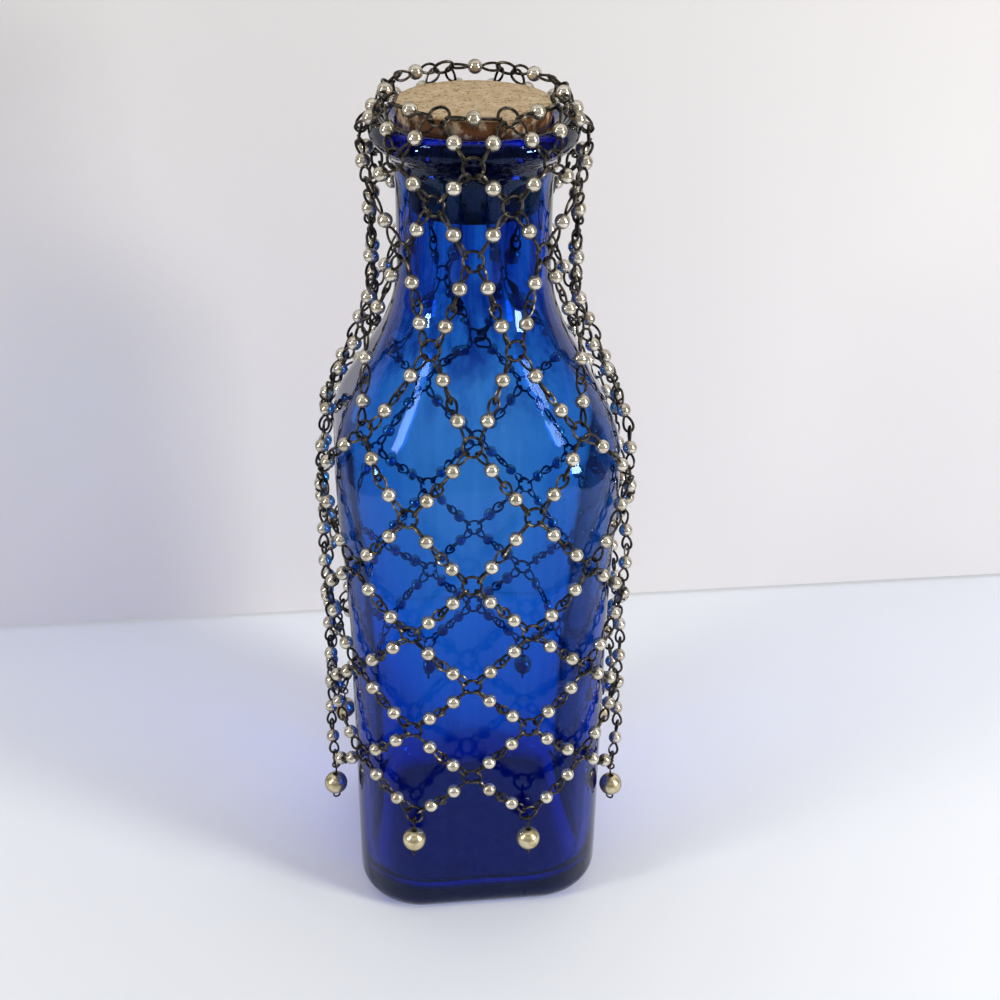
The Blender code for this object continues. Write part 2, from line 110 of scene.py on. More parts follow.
def lerp(low: float, high: float, share: float) -> float:
    """Value at a share of the way from low to high."""
    return low + (high - low) * share


def read_table(table: Table, key: float) -> float:
    """Read a table at a key, straight between its rows.

    Args:
        table: Rows of key and value, with rising keys.
        key: Where to read.

    Returns:
        The value there, held at the table's ends.
    """
    if key <= table[0][0]:
        return table[0][1]
    for (key_a, value_a), (key_b, value_b) in zip(table, table[1:]):
        if key <= key_b:
            return lerp(value_a, value_b, (key - key_a) / (key_b - key_a))
    return table[-1][1]


def smooth_table(table: Table, key: float) -> float:
    """Read a table at a key along a smooth curve that doesn't overshoot its rows.

    Args:
        table: Rows of key and value, with rising keys.
        key: Where to read.

    Returns:
        The value on the curve, held at the table's ends.
    """
    if key <= table[0][0]:
        return table[0][1]
    if key >= table[-1][0]:
        return table[-1][1]
    spans = [(b[1] - a[1]) / (b[0] - a[0]) for a, b in zip(table, table[1:])]
    slopes = [spans[0]]
    for before, after in zip(spans, spans[1:]):
        slopes.append(0.0 if before * after <= 0 else 2 * before * after / (before + after))
    slopes.append(spans[-1])
    index = max(row for row in range(len(table) - 1) if table[row][0] <= key)
    (key_a, value_a), (key_b, value_b) = table[index], table[index + 1]
    width = key_b - key_a
    share = (key - key_a) / width
    rest = 1 - share
    return (
        value_a * (1 + 2 * share) * rest * rest + value_b * (3 - 2 * share) * share * share
        + slopes[index] * width * share * rest * rest - slopes[index + 1] * width * share * share * rest)


def climb(start: float, ends: Sequence[float], bands: Sequence[int]) -> list[float]:
    """Heights of the bands along a profile.

    Args:
        start: Height before the first band.
        ends: Height that each stretch ends at.
        bands: Number of bands in each stretch.

    Returns:
        The height at the end of each band.
    """
    heights = []
    for end, count in zip(ends, bands):
        heights += [lerp(start, end, band / count) for band in range(1, count + 1)]
        start = end
    return heights


def full_turn(count: int) -> list[float]:
    """Even angles round a circle, from 0."""
    return [2 * math.pi * step / count for step in range(count)]


def quarter_turn(bands: int, first: int = 1) -> list[tuple[float, float]]:
    """Points of a quarter circle with a radius of 1.

    Args:
        bands: Steps in the quarter.
        first: First step that is wanted.

    Returns:
        Sine and cosine of each step.
    """
    turns = [math.pi / 2 * step / bands for step in range(first, bands + 1)]
    return [(math.sin(turn), math.cos(turn)) for turn in turns]


def rounded_square_radius(half: float, corner: float, angle: float) -> float:
    """Distance from the middle of a rounded square to its outline.

    Args:
        half: Half its width.
        corner: Radius of its corners.
        angle: Direction in which the distance is taken.

    Returns:
        The distance in metres.
    """
    turn = angle % (math.pi / 2)
    turn = min(turn, math.pi / 2 - turn)
    inset = half - corner
    if half * math.tan(turn) <= inset:
        return half / math.cos(turn)
    lean = inset * (math.cos(turn) + math.sin(turn))
    return lean + math.sqrt(max(0.0, lean * lean - 2 * inset * inset + corner * corner))


def corner_reach(half: float, corner: float) -> float:
    """Distance from the middle of a rounded square to the middle of a corner."""
    return (half - corner) * math.sqrt(2) + corner


def corner_for_reach(half: float, reach: float) -> float:
    """Corner radius that gives a rounded square a wanted corner reach."""
    return min(half, (half * math.sqrt(2) - reach) / (math.sqrt(2) - 1))


def around(angle: float, radius: float, height: float) -> Vector:
    """Point at a radius and height, in a direction measured from the front towards +X."""
    return Vector((radius * math.sin(angle), -radius * math.cos(angle), height))


def set_inputs(tree: bpy.types.NodeTree, node: bpy.types.Node, inputs: Inputs) -> None:
    """Give a node's inputs their values and links.

    Args:
        tree: Node tree that holds the node.
        node: The node.
        inputs: Value, or output socket to link from, for each input by name or number.
    """
    for key, value in inputs.items():
        if isinstance(value, bpy.types.NodeSocket):
            tree.links.new(value, node.inputs[key])
        else:
            node.inputs[key].default_value = value


def add_node(
        tree: bpy.types.NodeTree, kind: str, inputs: Inputs | None = None, stops: Stops = (),
        **settings) -> bpy.types.Node:
    """Add a shader node with its settings, values, links and colour stops.

    Args:
        tree: Node tree that takes the node.
        kind: Node type, such as ShaderNodeTexNoise.
        inputs: Value, or output socket to link from, for each input by name or number.
        stops: Place and hex colour of each stop, where the node has a colour ramp.
        settings: Properties of the node.

    Returns:
        The new node.
    """
    node = tree.nodes.new(kind)
    for name, value in settings.items():
        setattr(node, name, value)
    set_inputs(tree, node, inputs or {})
    if stops:
        elements = node.color_ramp.elements
        while len(elements) < len(stops):
            elements.new(0.5)
        for element, (place, colour) in zip(elements, stops):
            element.position = place
            element.color = linear(colour)
    return node


def new_material(name: str) -> tuple[bpy.types.Material, bpy.types.NodeTree, bpy.types.Node]:
    """Make a material.

    Args:
        name: Its name.

    Returns:
        The material, its node tree and its Principled shader.
    """
    material = bpy.data.materials.new(name)
    material.use_nodes = True
    return material, material.node_tree, material.node_tree.nodes["Principled BSDF"]


@dataclass(frozen=True)
class Pattern:
    """Cloudy pattern in a finish: width of its patches, depth of its detail and how strong that is."""

    width: float
    detail: float
    roughness: float

    def inputs(self, place: bpy.types.NodeSocket) -> Inputs:
        """Inputs of the noise texture that draws it."""
        return {
            "Vector": place, "Scale": 1 / self.width, "Detail": self.detail, "Roughness": self.roughness}


@dataclass(frozen=True)
class CobaltGlass:
    """Soda-lime glass coloured with cobalt, pressed and blown into a mould.

    The colour sits in the body of the glass, so thin walls are bright blue and the thick heel goes nearly
    black. The edges go nearly black partly from the long path through the glass and partly from a painted
    shade that darkens the skin where it is seen edge on. The surface is fire-polished, with the faint waves
    that a mould leaves, 16 mm wide, small seeds 4 mm apart, and cords of uneven melt, 5 mm wide, that run up
    the neck as darker streaks.
    """

    ior: float = 1.52
    roughness: float = 0.0
    absorption: str = "#00C6F4"
    density: float = 780.0
    glance: str = "#7E9EDA"
    clear: float = 0.85
    # Painted shade: the skin's tint goes nearly black where the glass is seen edge on.
    painted_edge_shade_tones: Stops = ((0.57, WHITE), (0.74, "#0A0F26"))
    cords: Pattern = Pattern(0.0050, 2.0, 0.55)
    cord_stretch: Place = (1.0, 1.0, 0.05)
    cord_tones: Stops = ((0.40, "#5A78B8"), (0.54, WHITE))
    cord_heights: Range = (0.185, 0.205)
    cord_shares: Range = (0.12, 0.9)
    seed_spacing: float = 0.0042
    seed_sizes: Range = (0.04, 0.09)
    seed_depth: float = 0.00006
    seed_strength: float = 0.5
    waves: Pattern = Pattern(0.016, 1.5, 0.4)
    wave_height: float = 0.00035
    wave_strength: float = 0.09

    def add_tint(self, tree: bpy.types.NodeTree, place: bpy.types.NodeSocket) -> bpy.types.NodeSocket:
        """Tint the skin: cords in the neck, and a painted shade, dark where the glass is seen edge on.

        Args:
            tree: Node tree of the material.
            place: Object coordinates.

        Returns:
            The colour.
        """
        drawn = add_node(
            tree, "ShaderNodeVectorMath", {0: place, 1: self.cord_stretch}, operation="MULTIPLY")
        cords = add_node(tree, "ShaderNodeTexNoise", self.cords.inputs(drawn.outputs["Vector"]))
        streaks = add_node(
            tree, "ShaderNodeValToRGB", {"Fac": cords.outputs["Fac"]}, stops=self.cord_tones)
        height = add_node(tree, "ShaderNodeSeparateXYZ", {"Vector": place}).outputs["Z"]
        neck = add_node(
            tree, "ShaderNodeMapRange",
            {"Value": height, "From Min": self.cord_heights[0], "From Max": self.cord_heights[1],
             "To Min": self.cord_shares[0], "To Max": self.cord_shares[1]})
        corded = add_node(
            tree, "ShaderNodeMix",
            {MIX_FACTOR: neck.outputs["Result"], MIX_A: linear(WHITE), MIX_B: streaks.outputs["Color"]},
            data_type="RGBA")
        # Painted shade: the facing angle darkens the skin where the glass is seen edge on.
        facing = add_node(tree, "ShaderNodeLayerWeight", {"Blend": 0.5}).outputs["Facing"]
        edge = add_node(tree, "ShaderNodeValToRGB", {"Fac": facing}, stops=self.painted_edge_shade_tones)
        tint = add_node(
            tree, "ShaderNodeMix",
            {MIX_FACTOR: 1.0, MIX_A: corded.outputs[MIX_RESULT], MIX_B: edge.outputs["Color"]},
            data_type="RGBA", blend_type="MULTIPLY")
        return tint.outputs[MIX_RESULT]

    def add_relief(self, tree: bpy.types.NodeTree, place: bpy.types.NodeSocket) -> bpy.types.NodeSocket:
        """Add the relief of seeds and mould waves.

        Args:
            tree: Node tree of the material.
            place: Object coordinates.

        Returns:
            The bent normal.
        """
        seeds = add_node(
            tree, "ShaderNodeTexVoronoi",
            {"Vector": place, "Scale": 1 / self.seed_spacing, "Randomness": 1.0})
        pits = add_node(
            tree, "ShaderNodeMapRange",
            {"Value": seeds.outputs["Distance"], "From Min": self.seed_sizes[0],
             "From Max": self.seed_sizes[1]})
        pitted = add_node(
            tree, "ShaderNodeBump",
            {"Height": pits.outputs["Result"], "Strength": self.seed_strength,
             "Distance": self.seed_depth})
        waves = add_node(tree, "ShaderNodeTexNoise", self.waves.inputs(place))
        bump = add_node(
            tree, "ShaderNodeBump",
            {"Height": waves.outputs["Fac"], "Strength": self.wave_strength,
             "Distance": self.wave_height, "Normal": pitted.outputs["Normal"]})
        return bump.outputs["Normal"]

    def build(self) -> bpy.types.Material:
        """Make the material.

        Returns:
            The glass. Shadow rays pass its skin, so that its body alone colours its shadow.
        """
        material, tree, shader = new_material("cobalt_glass")
        place = add_node(tree, "ShaderNodeTexCoord").outputs["Object"]
        set_inputs(tree, shader, {
            "Roughness": self.roughness, "IOR": self.ior, "Transmission Weight": 1.0,
            "Specular Tint": linear(self.glance), "Base Color": self.add_tint(tree, place),
            "Normal": self.add_relief(tree, place)})
        clear = add_node(tree, "ShaderNodeBsdfTransparent", {"Color": (self.clear,) * 3 + (1.0,)})
        ray = add_node(tree, "ShaderNodeLightPath").outputs["Is Shadow Ray"]
        surface = add_node(
            tree, "ShaderNodeMixShader", {0: ray, 1: shader.outputs["BSDF"], 2: clear.outputs["BSDF"]})
        volume = add_node(
            tree, "ShaderNodeVolumeAbsorption",
            {"Color": linear(self.absorption), "Density": self.density})
        set_inputs(tree, tree.nodes["Material Output"], {
            "Surface": surface.outputs["Shader"], "Volume": volume.outputs["Volume"]})
        return material


@dataclass(frozen=True)
class PressedCork:
    """Agglomerated cork: granules of about 0.6 mm pressed with a binder, then cut and sanded.

    It gives a warm matte tan with small darker grains, 0.8 mm pores and soft clouds of 3.6 mm. Its side is
    stained brown in blotches of 4 mm. From 6 mm under its top it darkens to nearly black, a painted shade
    for the part inside the neck.
    """

    # Height of the cork's top.
    top: float
    grain: float = 0.0006
    grain_tones: Stops = ((0.0, "#C3AC88"), (0.45, "#D8C3A1"), (0.86, "#D8C3A1"), (0.97, "#8A7150"))
    clouds: Pattern = Pattern(0.0036, 4.0, 0.6)
    cloud_tones: Stops = ((0.35, "#E4D6C4"), (0.65, WHITE))
    cloud_share: float = 0.8
    pores: Pattern = Pattern(0.00077778, 3.0, 0.7)
    pore_tones: Stops = ((0.28, "#8F7048"), (0.33, WHITE))
    pore_share: float = 0.85
    stains: Pattern = Pattern(0.003846, 3.0, 0.6)
    stain: str = "#6A4326"
    stain_edge: Range = (0.36, 0.52)
    # Painted shade: the nearly black colour of the cork inside the neck.
    painted_neck_shade: str = "#1E1710"
    stain_depths: Range = (0.0010, 0.0003)
    # Depths under the top where the painted shade is full and where it begins, and its strength.
    painted_shade_depths: Range = (0.0110, 0.0060)
    painted_shade_share: float = 0.94
    roughness: float = 0.85
    gloss: float = 0.25
    relief_strength: float = 0.55
    # Height of the relief as a share of a grain.
    relief_share: float = 0.35

    def add_depth(
            self, tree: bpy.types.NodeTree, place: bpy.types.NodeSocket, depths: Range,
            share: float) -> bpy.types.NodeSocket:
        """Add a mask that sets in below the top of the cork.

        Args:
            tree: Node tree of the material.
            place: Object coordinates.
            depths: Depth where it is full and depth where it begins.
            share: Its full strength.

        Returns:
            The mask.
        """
        height = add_node(tree, "ShaderNodeSeparateXYZ", {"Vector": place}).outputs["Z"]
        mask = add_node(
            tree, "ShaderNodeMapRange",
            {"Value": height, "From Min": self.top - depths[0], "From Max": self.top - depths[1],
             "To Min": share, "To Max": 0.0})
        return mask.outputs["Result"]

    def build(self) -> bpy.types.Material:
        """Make the material.

        Returns:
            The cork.
        """
        material, tree, shader = new_material("pressed_cork")
        place = add_node(tree, "ShaderNodeTexCoord").outputs["Object"]
        grains = add_node(
            tree, "ShaderNodeTexVoronoi", {"Vector": place, "Scale": 1 / self.grain, "Randomness": 1.0})
        tone = add_node(tree, "ShaderNodeSeparateColor", {"Color": grains.outputs["Color"]})
        base = add_node(
            tree, "ShaderNodeValToRGB", {"Fac": tone.outputs["Red"]}, stops=self.grain_tones)
        clouds = add_node(tree, "ShaderNodeTexNoise", self.clouds.inputs(place))
        shade = add_node(
            tree, "ShaderNodeValToRGB", {"Fac": clouds.outputs["Fac"]}, stops=self.cloud_tones)
        mixed = add_node(
            tree, "ShaderNodeMix",
            {MIX_FACTOR: self.cloud_share, MIX_A: base.outputs["Color"], MIX_B: shade.outputs["Color"]},
            data_type="RGBA", blend_type="MULTIPLY")
        specks = add_node(tree, "ShaderNodeTexNoise", self.pores.inputs(place))
        pores = add_node(
            tree, "ShaderNodeValToRGB", {"Fac": specks.outputs["Fac"]}, stops=self.pore_tones)
        pored = add_node(
            tree, "ShaderNodeMix",
            {MIX_FACTOR: self.pore_share, MIX_A: mixed.outputs[MIX_RESULT], MIX_B: pores.outputs["Color"]},
            data_type="RGBA", blend_type="MULTIPLY")
        blotch = add_node(tree, "ShaderNodeTexNoise", self.stains.inputs(place))
        reach = add_node(
            tree, "ShaderNodeMapRange",
            {"Value": blotch.outputs["Fac"], "From Min": self.stain_edge[0],
             "From Max": self.stain_edge[1]})
        worn = add_node(
            tree, "ShaderNodeMath",
            {0: self.add_depth(tree, place, self.stain_depths, 1.0), 1: reach.outputs["Result"]},
            operation="MULTIPLY")
        stained = add_node(
            tree, "ShaderNodeMix",
            {MIX_FACTOR: worn.outputs[0], MIX_A: pored.outputs[MIX_RESULT], MIX_B: linear(self.stain)},
            data_type="RGBA")
        # Painted shade: the cork inside the neck goes nearly black.
        plug = self.add_depth(tree, place, self.painted_shade_depths, self.painted_shade_share)
        painted_neck_shade = add_node(
            tree, "ShaderNodeMix",
            {MIX_FACTOR: plug, MIX_A: stained.outputs[MIX_RESULT], MIX_B: linear(self.painted_neck_shade)},
            data_type="RGBA")
        relief = add_node(
            tree, "ShaderNodeMath", {0: grains.outputs["Distance"], 1: specks.outputs["Fac"]},
            operation="ADD")
        bump = add_node(
            tree, "ShaderNodeBump",
            {"Height": relief.outputs[0], "Strength": self.relief_strength,
             "Distance": self.grain * self.relief_share})
        set_inputs(tree, shader, {
            "Base Color": painted_neck_shade.outputs[MIX_RESULT], "Roughness": self.roughness,
            "Specular IOR Level": self.gloss, "Normal": bump.outputs["Normal"]})
        return material


@dataclass(frozen=True)
class RubbedMetal:
    """Brass with a finish that differs in patches.

    Its colour runs through a few tones from patch to patch, and its roughness follows them, so that worn
    places shine.
    """

    name: str
    tones: Stops
    metallic: float
    patches: Pattern
    rough_range: Range
    relief: Pattern
    relief_strength: float
    relief_height: float = 0.0002
    rim: str = WHITE
    # Range of the pattern over which the roughness changes.
    rough_fade: Range = (0.3, 0.7)

    def build(self) -> bpy.types.Material:
        """Make the material.

        Returns:
            The metal.
        """
        material, tree, shader = new_material(self.name)
        place = add_node(tree, "ShaderNodeTexCoord").outputs["Object"]
        patches = add_node(tree, "ShaderNodeTexNoise", self.patches.inputs(place))
        colour = add_node(
            tree, "ShaderNodeValToRGB", {"Fac": patches.outputs["Fac"]}, stops=self.tones)
        rough = add_node(
            tree, "ShaderNodeMapRange",
            {"Value": patches.outputs["Fac"], "From Min": self.rough_fade[0],
             "From Max": self.rough_fade[1], "To Min": self.rough_range[0],
             "To Max": self.rough_range[1]})
        relief = add_node(tree, "ShaderNodeTexNoise", self.relief.inputs(place))
        bump = add_node(
            tree, "ShaderNodeBump",
            {"Height": relief.outputs["Fac"], "Strength": self.relief_strength,
             "Distance": self.relief_height})
        set_inputs(tree, shader, {
            "Metallic": self.metallic, "Specular Tint": linear(self.rim),
            "Base Color": colour.outputs["Color"], "Roughness": rough.outputs["Result"],
            "Normal": bump.outputs["Normal"]})
        return material


@dataclass(frozen=True)
class PlatedBead(RubbedMetal):
    """Pressed brass bead, tumbled, plated in pale champagne and polished to a mirror.

    It mirrors the room: white windows, a dark rim and warm grey between. Tumbling leaves dents finer than
    the render shows, so they are drawn 1.1 mm wide, and the tarnish in patches of 3.1 mm.
    """

    name: str = "champagne_plate"
    tones: Stops = ((0.36, "#B5AA95"), (0.56, "#E4DDCE"))
    metallic: float = 0.86
    patches: Pattern = Pattern(0.003125, 3.0, 0.6)
    rough_range: Range = (0.238, 0.14)
    relief: Pattern = Pattern(0.0011111, 1.0, 0.5)
    relief_strength: float = 0.12
    rim: str = "#3C3830"


@dataclass(frozen=True)
class GildedBead(PlatedBead):
    """Larger bead of the hem, made the same way with a gold plating. It is warmer and a little duller."""

    name: str = "gold_plate"
    tones: Stops = ((0.36, "#BFB089"), (0.56, "#DDD1B0"))
    rough_range: Range = (0.306, 0.18)


@dataclass(frozen=True)
class AntiqueWire(RubbedMetal):
    """Drawn brass wire with an oxidised, rubbed finish.

    It reads as dark bronze, browner in patches, with thin bright lines where it is rubbed. The real patches
    are too fine to show, so they are drawn 2.4 mm wide. They are the relief too, because the oxide stands
    proud of the rubbed brass.
    """

    name: str = "dark_wire"
    tones: Stops = ((0.36, "#1F1D1A"), (0.52, "#3E3932"), (0.68, "#7C7363"))
    metallic: float = 0.9
    patches: Pattern = Pattern(0.002381, 4.0, 0.65)
    rough_range: Range = (0.476, 0.272)
    relief: Pattern = patches
    relief_strength: float = 0.25


@dataclass(frozen=True)
class PaintedBoard:
    """Matte painted board of the studio. It shows its own colour and takes shadows.

    A one-sided board is open from behind, so that the bottle can be seen past it from the back.
    """

    name: str
    colour: str
    one_sided: bool = False
    roughness: float = 0.9
    gloss: float = 0.1

    def build(self) -> bpy.types.Material:
        """Make the material.

        Returns:
            The paint.
        """
        material, tree, shader = new_material(self.name)
        set_inputs(tree, shader, {
            "Base Color": linear(self.colour), "Roughness": self.roughness,
            "Specular IOR Level": self.gloss})
        if self.one_sided:
            behind = add_node(tree, "ShaderNodeNewGeometry").outputs["Backfacing"]
            open_back = add_node(tree, "ShaderNodeBsdfTransparent")
            surface = add_node(
                tree, "ShaderNodeMixShader",
                {0: behind, 1: shader.outputs["BSDF"], 2: open_back.outputs["BSDF"]})
            set_inputs(tree, tree.nodes["Material Output"], {"Surface": surface.outputs["Shader"]})
        return material


@dataclass
class MeshBag:
    """Vertices and faces that are gathered into one object."""

    points: list[Place] = field(default_factory=list)
    faces: list[tuple[int, ...]] = field(default_factory=list)

    def add_loop(self, loop: Iterable[Vector]) -> list[int]:
        """Add a loop of points.

        Args:
            loop: The points in order.

        Returns:
            Their numbers.
        """
        start = len(self.points)
        self.points += [tuple(point) for point in loop]
        return list(range(start, len(self.points)))

    def join(self, loop_a: list[int], loop_b: list[int]) -> None:
        """Add a band of faces between two closed loops.

        Args:
            loop_a: Numbers of the first loop's points.
            loop_b: Numbers of the second loop's points.
        """
        count = len(loop_a)
        for index in range(count):
            following = (index + 1) % count
            self.faces.append((loop_a[index], loop_a[following], loop_b[following], loop_b[index]))

    def join_all(self, loops: Sequence[list[int]]) -> None:
        """Add a band of faces between each loop and the next."""
        for loop_a, loop_b in zip(loops, loops[1:]):
            self.join(loop_a, loop_b)

    def skin(self, loops: Sequence[list[int]]) -> None:
        """Add the bands between all loops, and a face at each end.

        Args:
            loops: Numbers of each loop's points, from one end to the other.
        """
        self.join_all(loops)
        self.faces.append(tuple(reversed(loops[0])))
        self.faces.append(tuple(loops[-1]))

    def add_tube(self, path: Sequence[Vector], radius: float, sides: int, closed: bool) -> None:
        """Add a round wire along a path.

        Args:
            path: Points of its middle line.
            radius: Radius of the wire.
            sides: Faces round it.
            closed: Whether its ends meet.
        """
        count = len(path)
        tangents = []
        for index in range(count):
            before = path[index - 1] if index or closed else path[0]
            after = path[(index + 1) % count] if index + 1 < count or closed else path[-1]
            tangents.append((after - before).normalized())
        across = tangents[0].orthogonal().normalized()
        loops = []
        for point, tangent in zip(path, tangents):
            across = (across - tangent * across.dot(tangent)).normalized()
            over = tangent.cross(across)
            loops.append(self.add_loop(
                point + (across * math.cos(turn) + over * math.sin(turn)) * radius
                for turn in full_turn(sides)))
        if not closed:
            self.skin(loops)
            return
        self.join_all(loops)
        first = loops[0]
        last = loops[-1]
        turn = min(
            range(sides),
            key=lambda step: (Vector(self.points[first[step]]) - Vector(self.points[last[0]])).length)
        self.join(last, first[turn:] + first[:turn])

    def add_bead(
            self, centre: Vector, axis: Vector, radius: float, bore: float, sides: int, rows: int,
            bore_share: float = 0.5) -> None:
        """Add a round bead with a bore.

        Args:
            centre: Middle of the bead.
            axis: Direction of its bore.
            radius: Radius of the bead.
            bore: Radius of its bore.
            sides: Faces round it.
            rows: Bands from rim to rim.
            bore_share: Share of the way to each rim at which the bore has a ring of points.
        """
        axis = axis.normalized()
        across = axis.orthogonal().normalized()
        over = axis.cross(across)
        rim = math.asin(bore / radius)
        profile = []
        for row in range(rows + 1):
            turn = lerp(rim, math.pi - rim, row / rows)
            profile.append((radius * math.sin(turn), radius * math.cos(turn)))
        depth = radius * math.cos(rim) * bore_share
        profile += [(bore, -depth), (bore, depth)]
        loops = []
        for wide, high in profile:
            loops.append(self.add_loop(
                centre + (across * math.cos(turn) + over * math.sin(turn)) * wide + axis * high
                for turn in full_turn(sides)))
        self.join_all(loops + loops[:1])

    def build(self, name: str, material: bpy.types.Material, smooth: float = 50.0) -> bpy.types.Object:
        """Make the object.

        Args:
            name: Name of the object.
            material: Its finish.
            smooth: Largest angle in degrees that is shaded smooth.

        Returns:
            The new object, in the scene.
        """
        mesh = bpy.data.meshes.new(name)
        mesh.from_pydata(self.points, [], self.faces)
        mesh.validate()
        mesh.shade_smooth()
        mesh.set_sharp_from_angle(angle=math.radians(smooth))
        mesh.materials.append(material)
        thing = bpy.data.objects.new(name, mesh)
        bpy.context.scene.collection.objects.link(thing)
        return thing


def dress(thing: bpy.types.Object, body: str, nodes: Sequence[str]) -> None:
    """Put a piece on its body and in place of its solids.

    Args:
        thing: The piece.
        body: Body that it rides on.
        nodes: Solids that it stands for.
    """
    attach(thing, body)
    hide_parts(*nodes)
    LOG.info("%s: %d faces on %s", thing.name, len(thing.data.polygons), body)


@dataclass
class GlassBottle:
    """Square bottle with swelling shoulders, a round neck and a thick rolled lip."""

    width: float = 0.084
    corner: float = 0.022
    shoulder_width: float = 0.089
    shoulder_corner: float = 0.030
    neck_diameter: float = 0.0462
    lip_diameter: float = 0.061
    body_height: float = 0.105
    shoulder_height: float = 0.165
    neck_height: float = 0.222
    lip_start: float = 0.248
    lip_top: float = 0.268
    heel: float = 0.0075
    heel_bands: int = 8
    foot_shares: Sequence[float] = (0.3, 0.6)
    # Bands from the heel to the tops of body, shoulder, neck slope, neck and lip.
    outer_bands: Sequence[int] = (8, 20, 30, 5, 22)
    floor: float = 0.0040
    inner_heel: float = 0.012
    inner_heel_bands: int = 10
    # Bands from the bore down to the neck's foot, the shoulder, the body and the inner heel.
    inner_bands: Sequence[int] = (4, 28, 10, 8)
    floor_shares: Sequence[float] = (0.66, 0.33)
    corner_fill: float = 0.0012
    # Share of the wall by which the inside of the slope sits lower than the outside.
    slope_share: float = 0.45
    mouth_radius: float = 0.02245
    mouth_inset: float = 0.0012
    mouth_depth: float = 0.0016
    mouth_bands: int = 6
    bore_start: float = 0.002
    bore_radius: float = 0.0198
    bore_height: float = 0.240
    bore_bands: int = 5
    sides: int = 128
    smooth: float = 60.0
    # Wall against height: blown thin at the shoulder, thick near the foot and in the neck.
    walls: Table = (
        (0.0, 0.0040), (0.05, 0.0037), (0.09, 0.0029), (0.13, 0.0022), (0.165, 0.0018), (0.20, 0.0022),
        (0.222, 0.0031))
    # Share of the climb over the shoulder against the share of its width that is left.
    shoulder_shares: Table = (
        (0.0, 1.0), (0.10, 0.985), (0.23, 0.880), (0.35, 0.720), (0.53, 0.458), (0.70, 0.215),
        (0.86, 0.070), (1.0, 0.0))
    # Share of the lip's climb against the share of its flare.
    lip_shares: Table = (
        (0.0, 0.0), (0.30, 0.08), (0.50, 0.34), (0.66, 0.84), (0.80, 1.00), (0.92, 0.93), (1.0, 0.70))
    # Uneven thickness that blowing leaves on the inside, and the flutes that it leaves in the neck.
    waves: Sequence[Wave] = (
        (0.00010, 2, 31.0, 0.0), (0.00006, 5, -47.0, 1.3), (0.00004, 9, 90.0, 0.0))
    flutes: Sequence[Wave] = ((0.00008, 9, 0.0, 0.4), (0.000048, 14, 0.0, 1.9))
    flute_shares: Table = ((0.170, 0.0), (0.200, 0.7), (0.222, 1.0), (0.236, 1.0), (0.240, 0.0))
    # Height over the floor, and depth under the bore, where the thickness stays even.
    even_floor: float = 0.002
    even_bore: float = 0.001

    def outer_level(self, height: float) -> tuple[float, float]:
        """Outside of the glass at a height.

        Args:
            height: Height over the foot.

        Returns:
            Half width and corner radius.
        """
        half = self.width / 2
        neck = self.neck_diameter / 2
        if height <= self.body_height:
            return half, self.corner
        if height <= self.shoulder_height:
            share = (height - self.body_height) / (self.shoulder_height - self.body_height)
            ease = share * share * (3 - 2 * share)
            return lerp(half, self.shoulder_width / 2, ease), lerp(self.corner, self.shoulder_corner, ease)
        if height <= self.neck_height:
            share = (height - self.shoulder_height) / (self.neck_height - self.shoulder_height)
            left = smooth_table(self.shoulder_shares, share)
            level = lerp(neck, self.shoulder_width / 2, left)
            return level, level * lerp(1, self.shoulder_corner / (self.shoulder_width / 2), left)
        if height <= self.lip_start:
            return neck, neck
        share = (height - self.lip_start) / (self.lip_top - self.lip_start)
        radius = lerp(neck, self.lip_diameter / 2, smooth_table(self.lip_shares, share))
        return radius, radius

    def outer_profile(self) -> list[Level]:
        """Outline of the outside.

        Returns:
            Half width, corner radius and height of each level, from the foot up.
        """
        half = self.width / 2
        levels = [(half * share, self.corner * share, 0.0) for share in self.foot_shares]
        for sine, cosine in quarter_turn(self.heel_bands, first=0):
            inward = self.heel * (1 - sine)
            levels.append((half - inward, self.corner - inward, self.heel * (1 - cosine)))
        ends = (self.body_height, self.shoulder_height, self.neck_height, self.lip_start, self.lip_top)
        heights = climb(self.heel, ends, self.outer_bands)
        return levels + [(*self.outer_level(height), height) for height in heights]

    def inner_corner(self, half: float, corner: float, wall: float) -> float:
        """Corner radius of the inside, where glass gathers in the corners."""
        return corner - wall + self.corner_fill * (half - corner) / self.corner

    def mouth_profile(self) -> list[Level]:
        """Outline of the mouth and the bore under it.

        Returns:
            Half width, corner radius and height of each level, from the lip down.
        """
        levels = []
        rim = lerp(self.neck_diameter / 2, self.lip_diameter / 2, self.lip_shares[-1][1])
        for sine, cosine in quarter_turn(self.mouth_bands):
            radius = lerp(rim - self.mouth_inset, self.mouth_radius, sine)
            levels.append((radius, radius, self.lip_top - self.mouth_depth * (1 - cosine)))
        for height in climb(self.lip_top - self.bore_start, [self.bore_height], [self.bore_bands]):
            share = (self.lip_top - height) / (self.lip_top - self.bore_height)
            radius = lerp(self.mouth_radius, self.bore_radius, share)
            levels.append((radius, radius, height))
        return levels

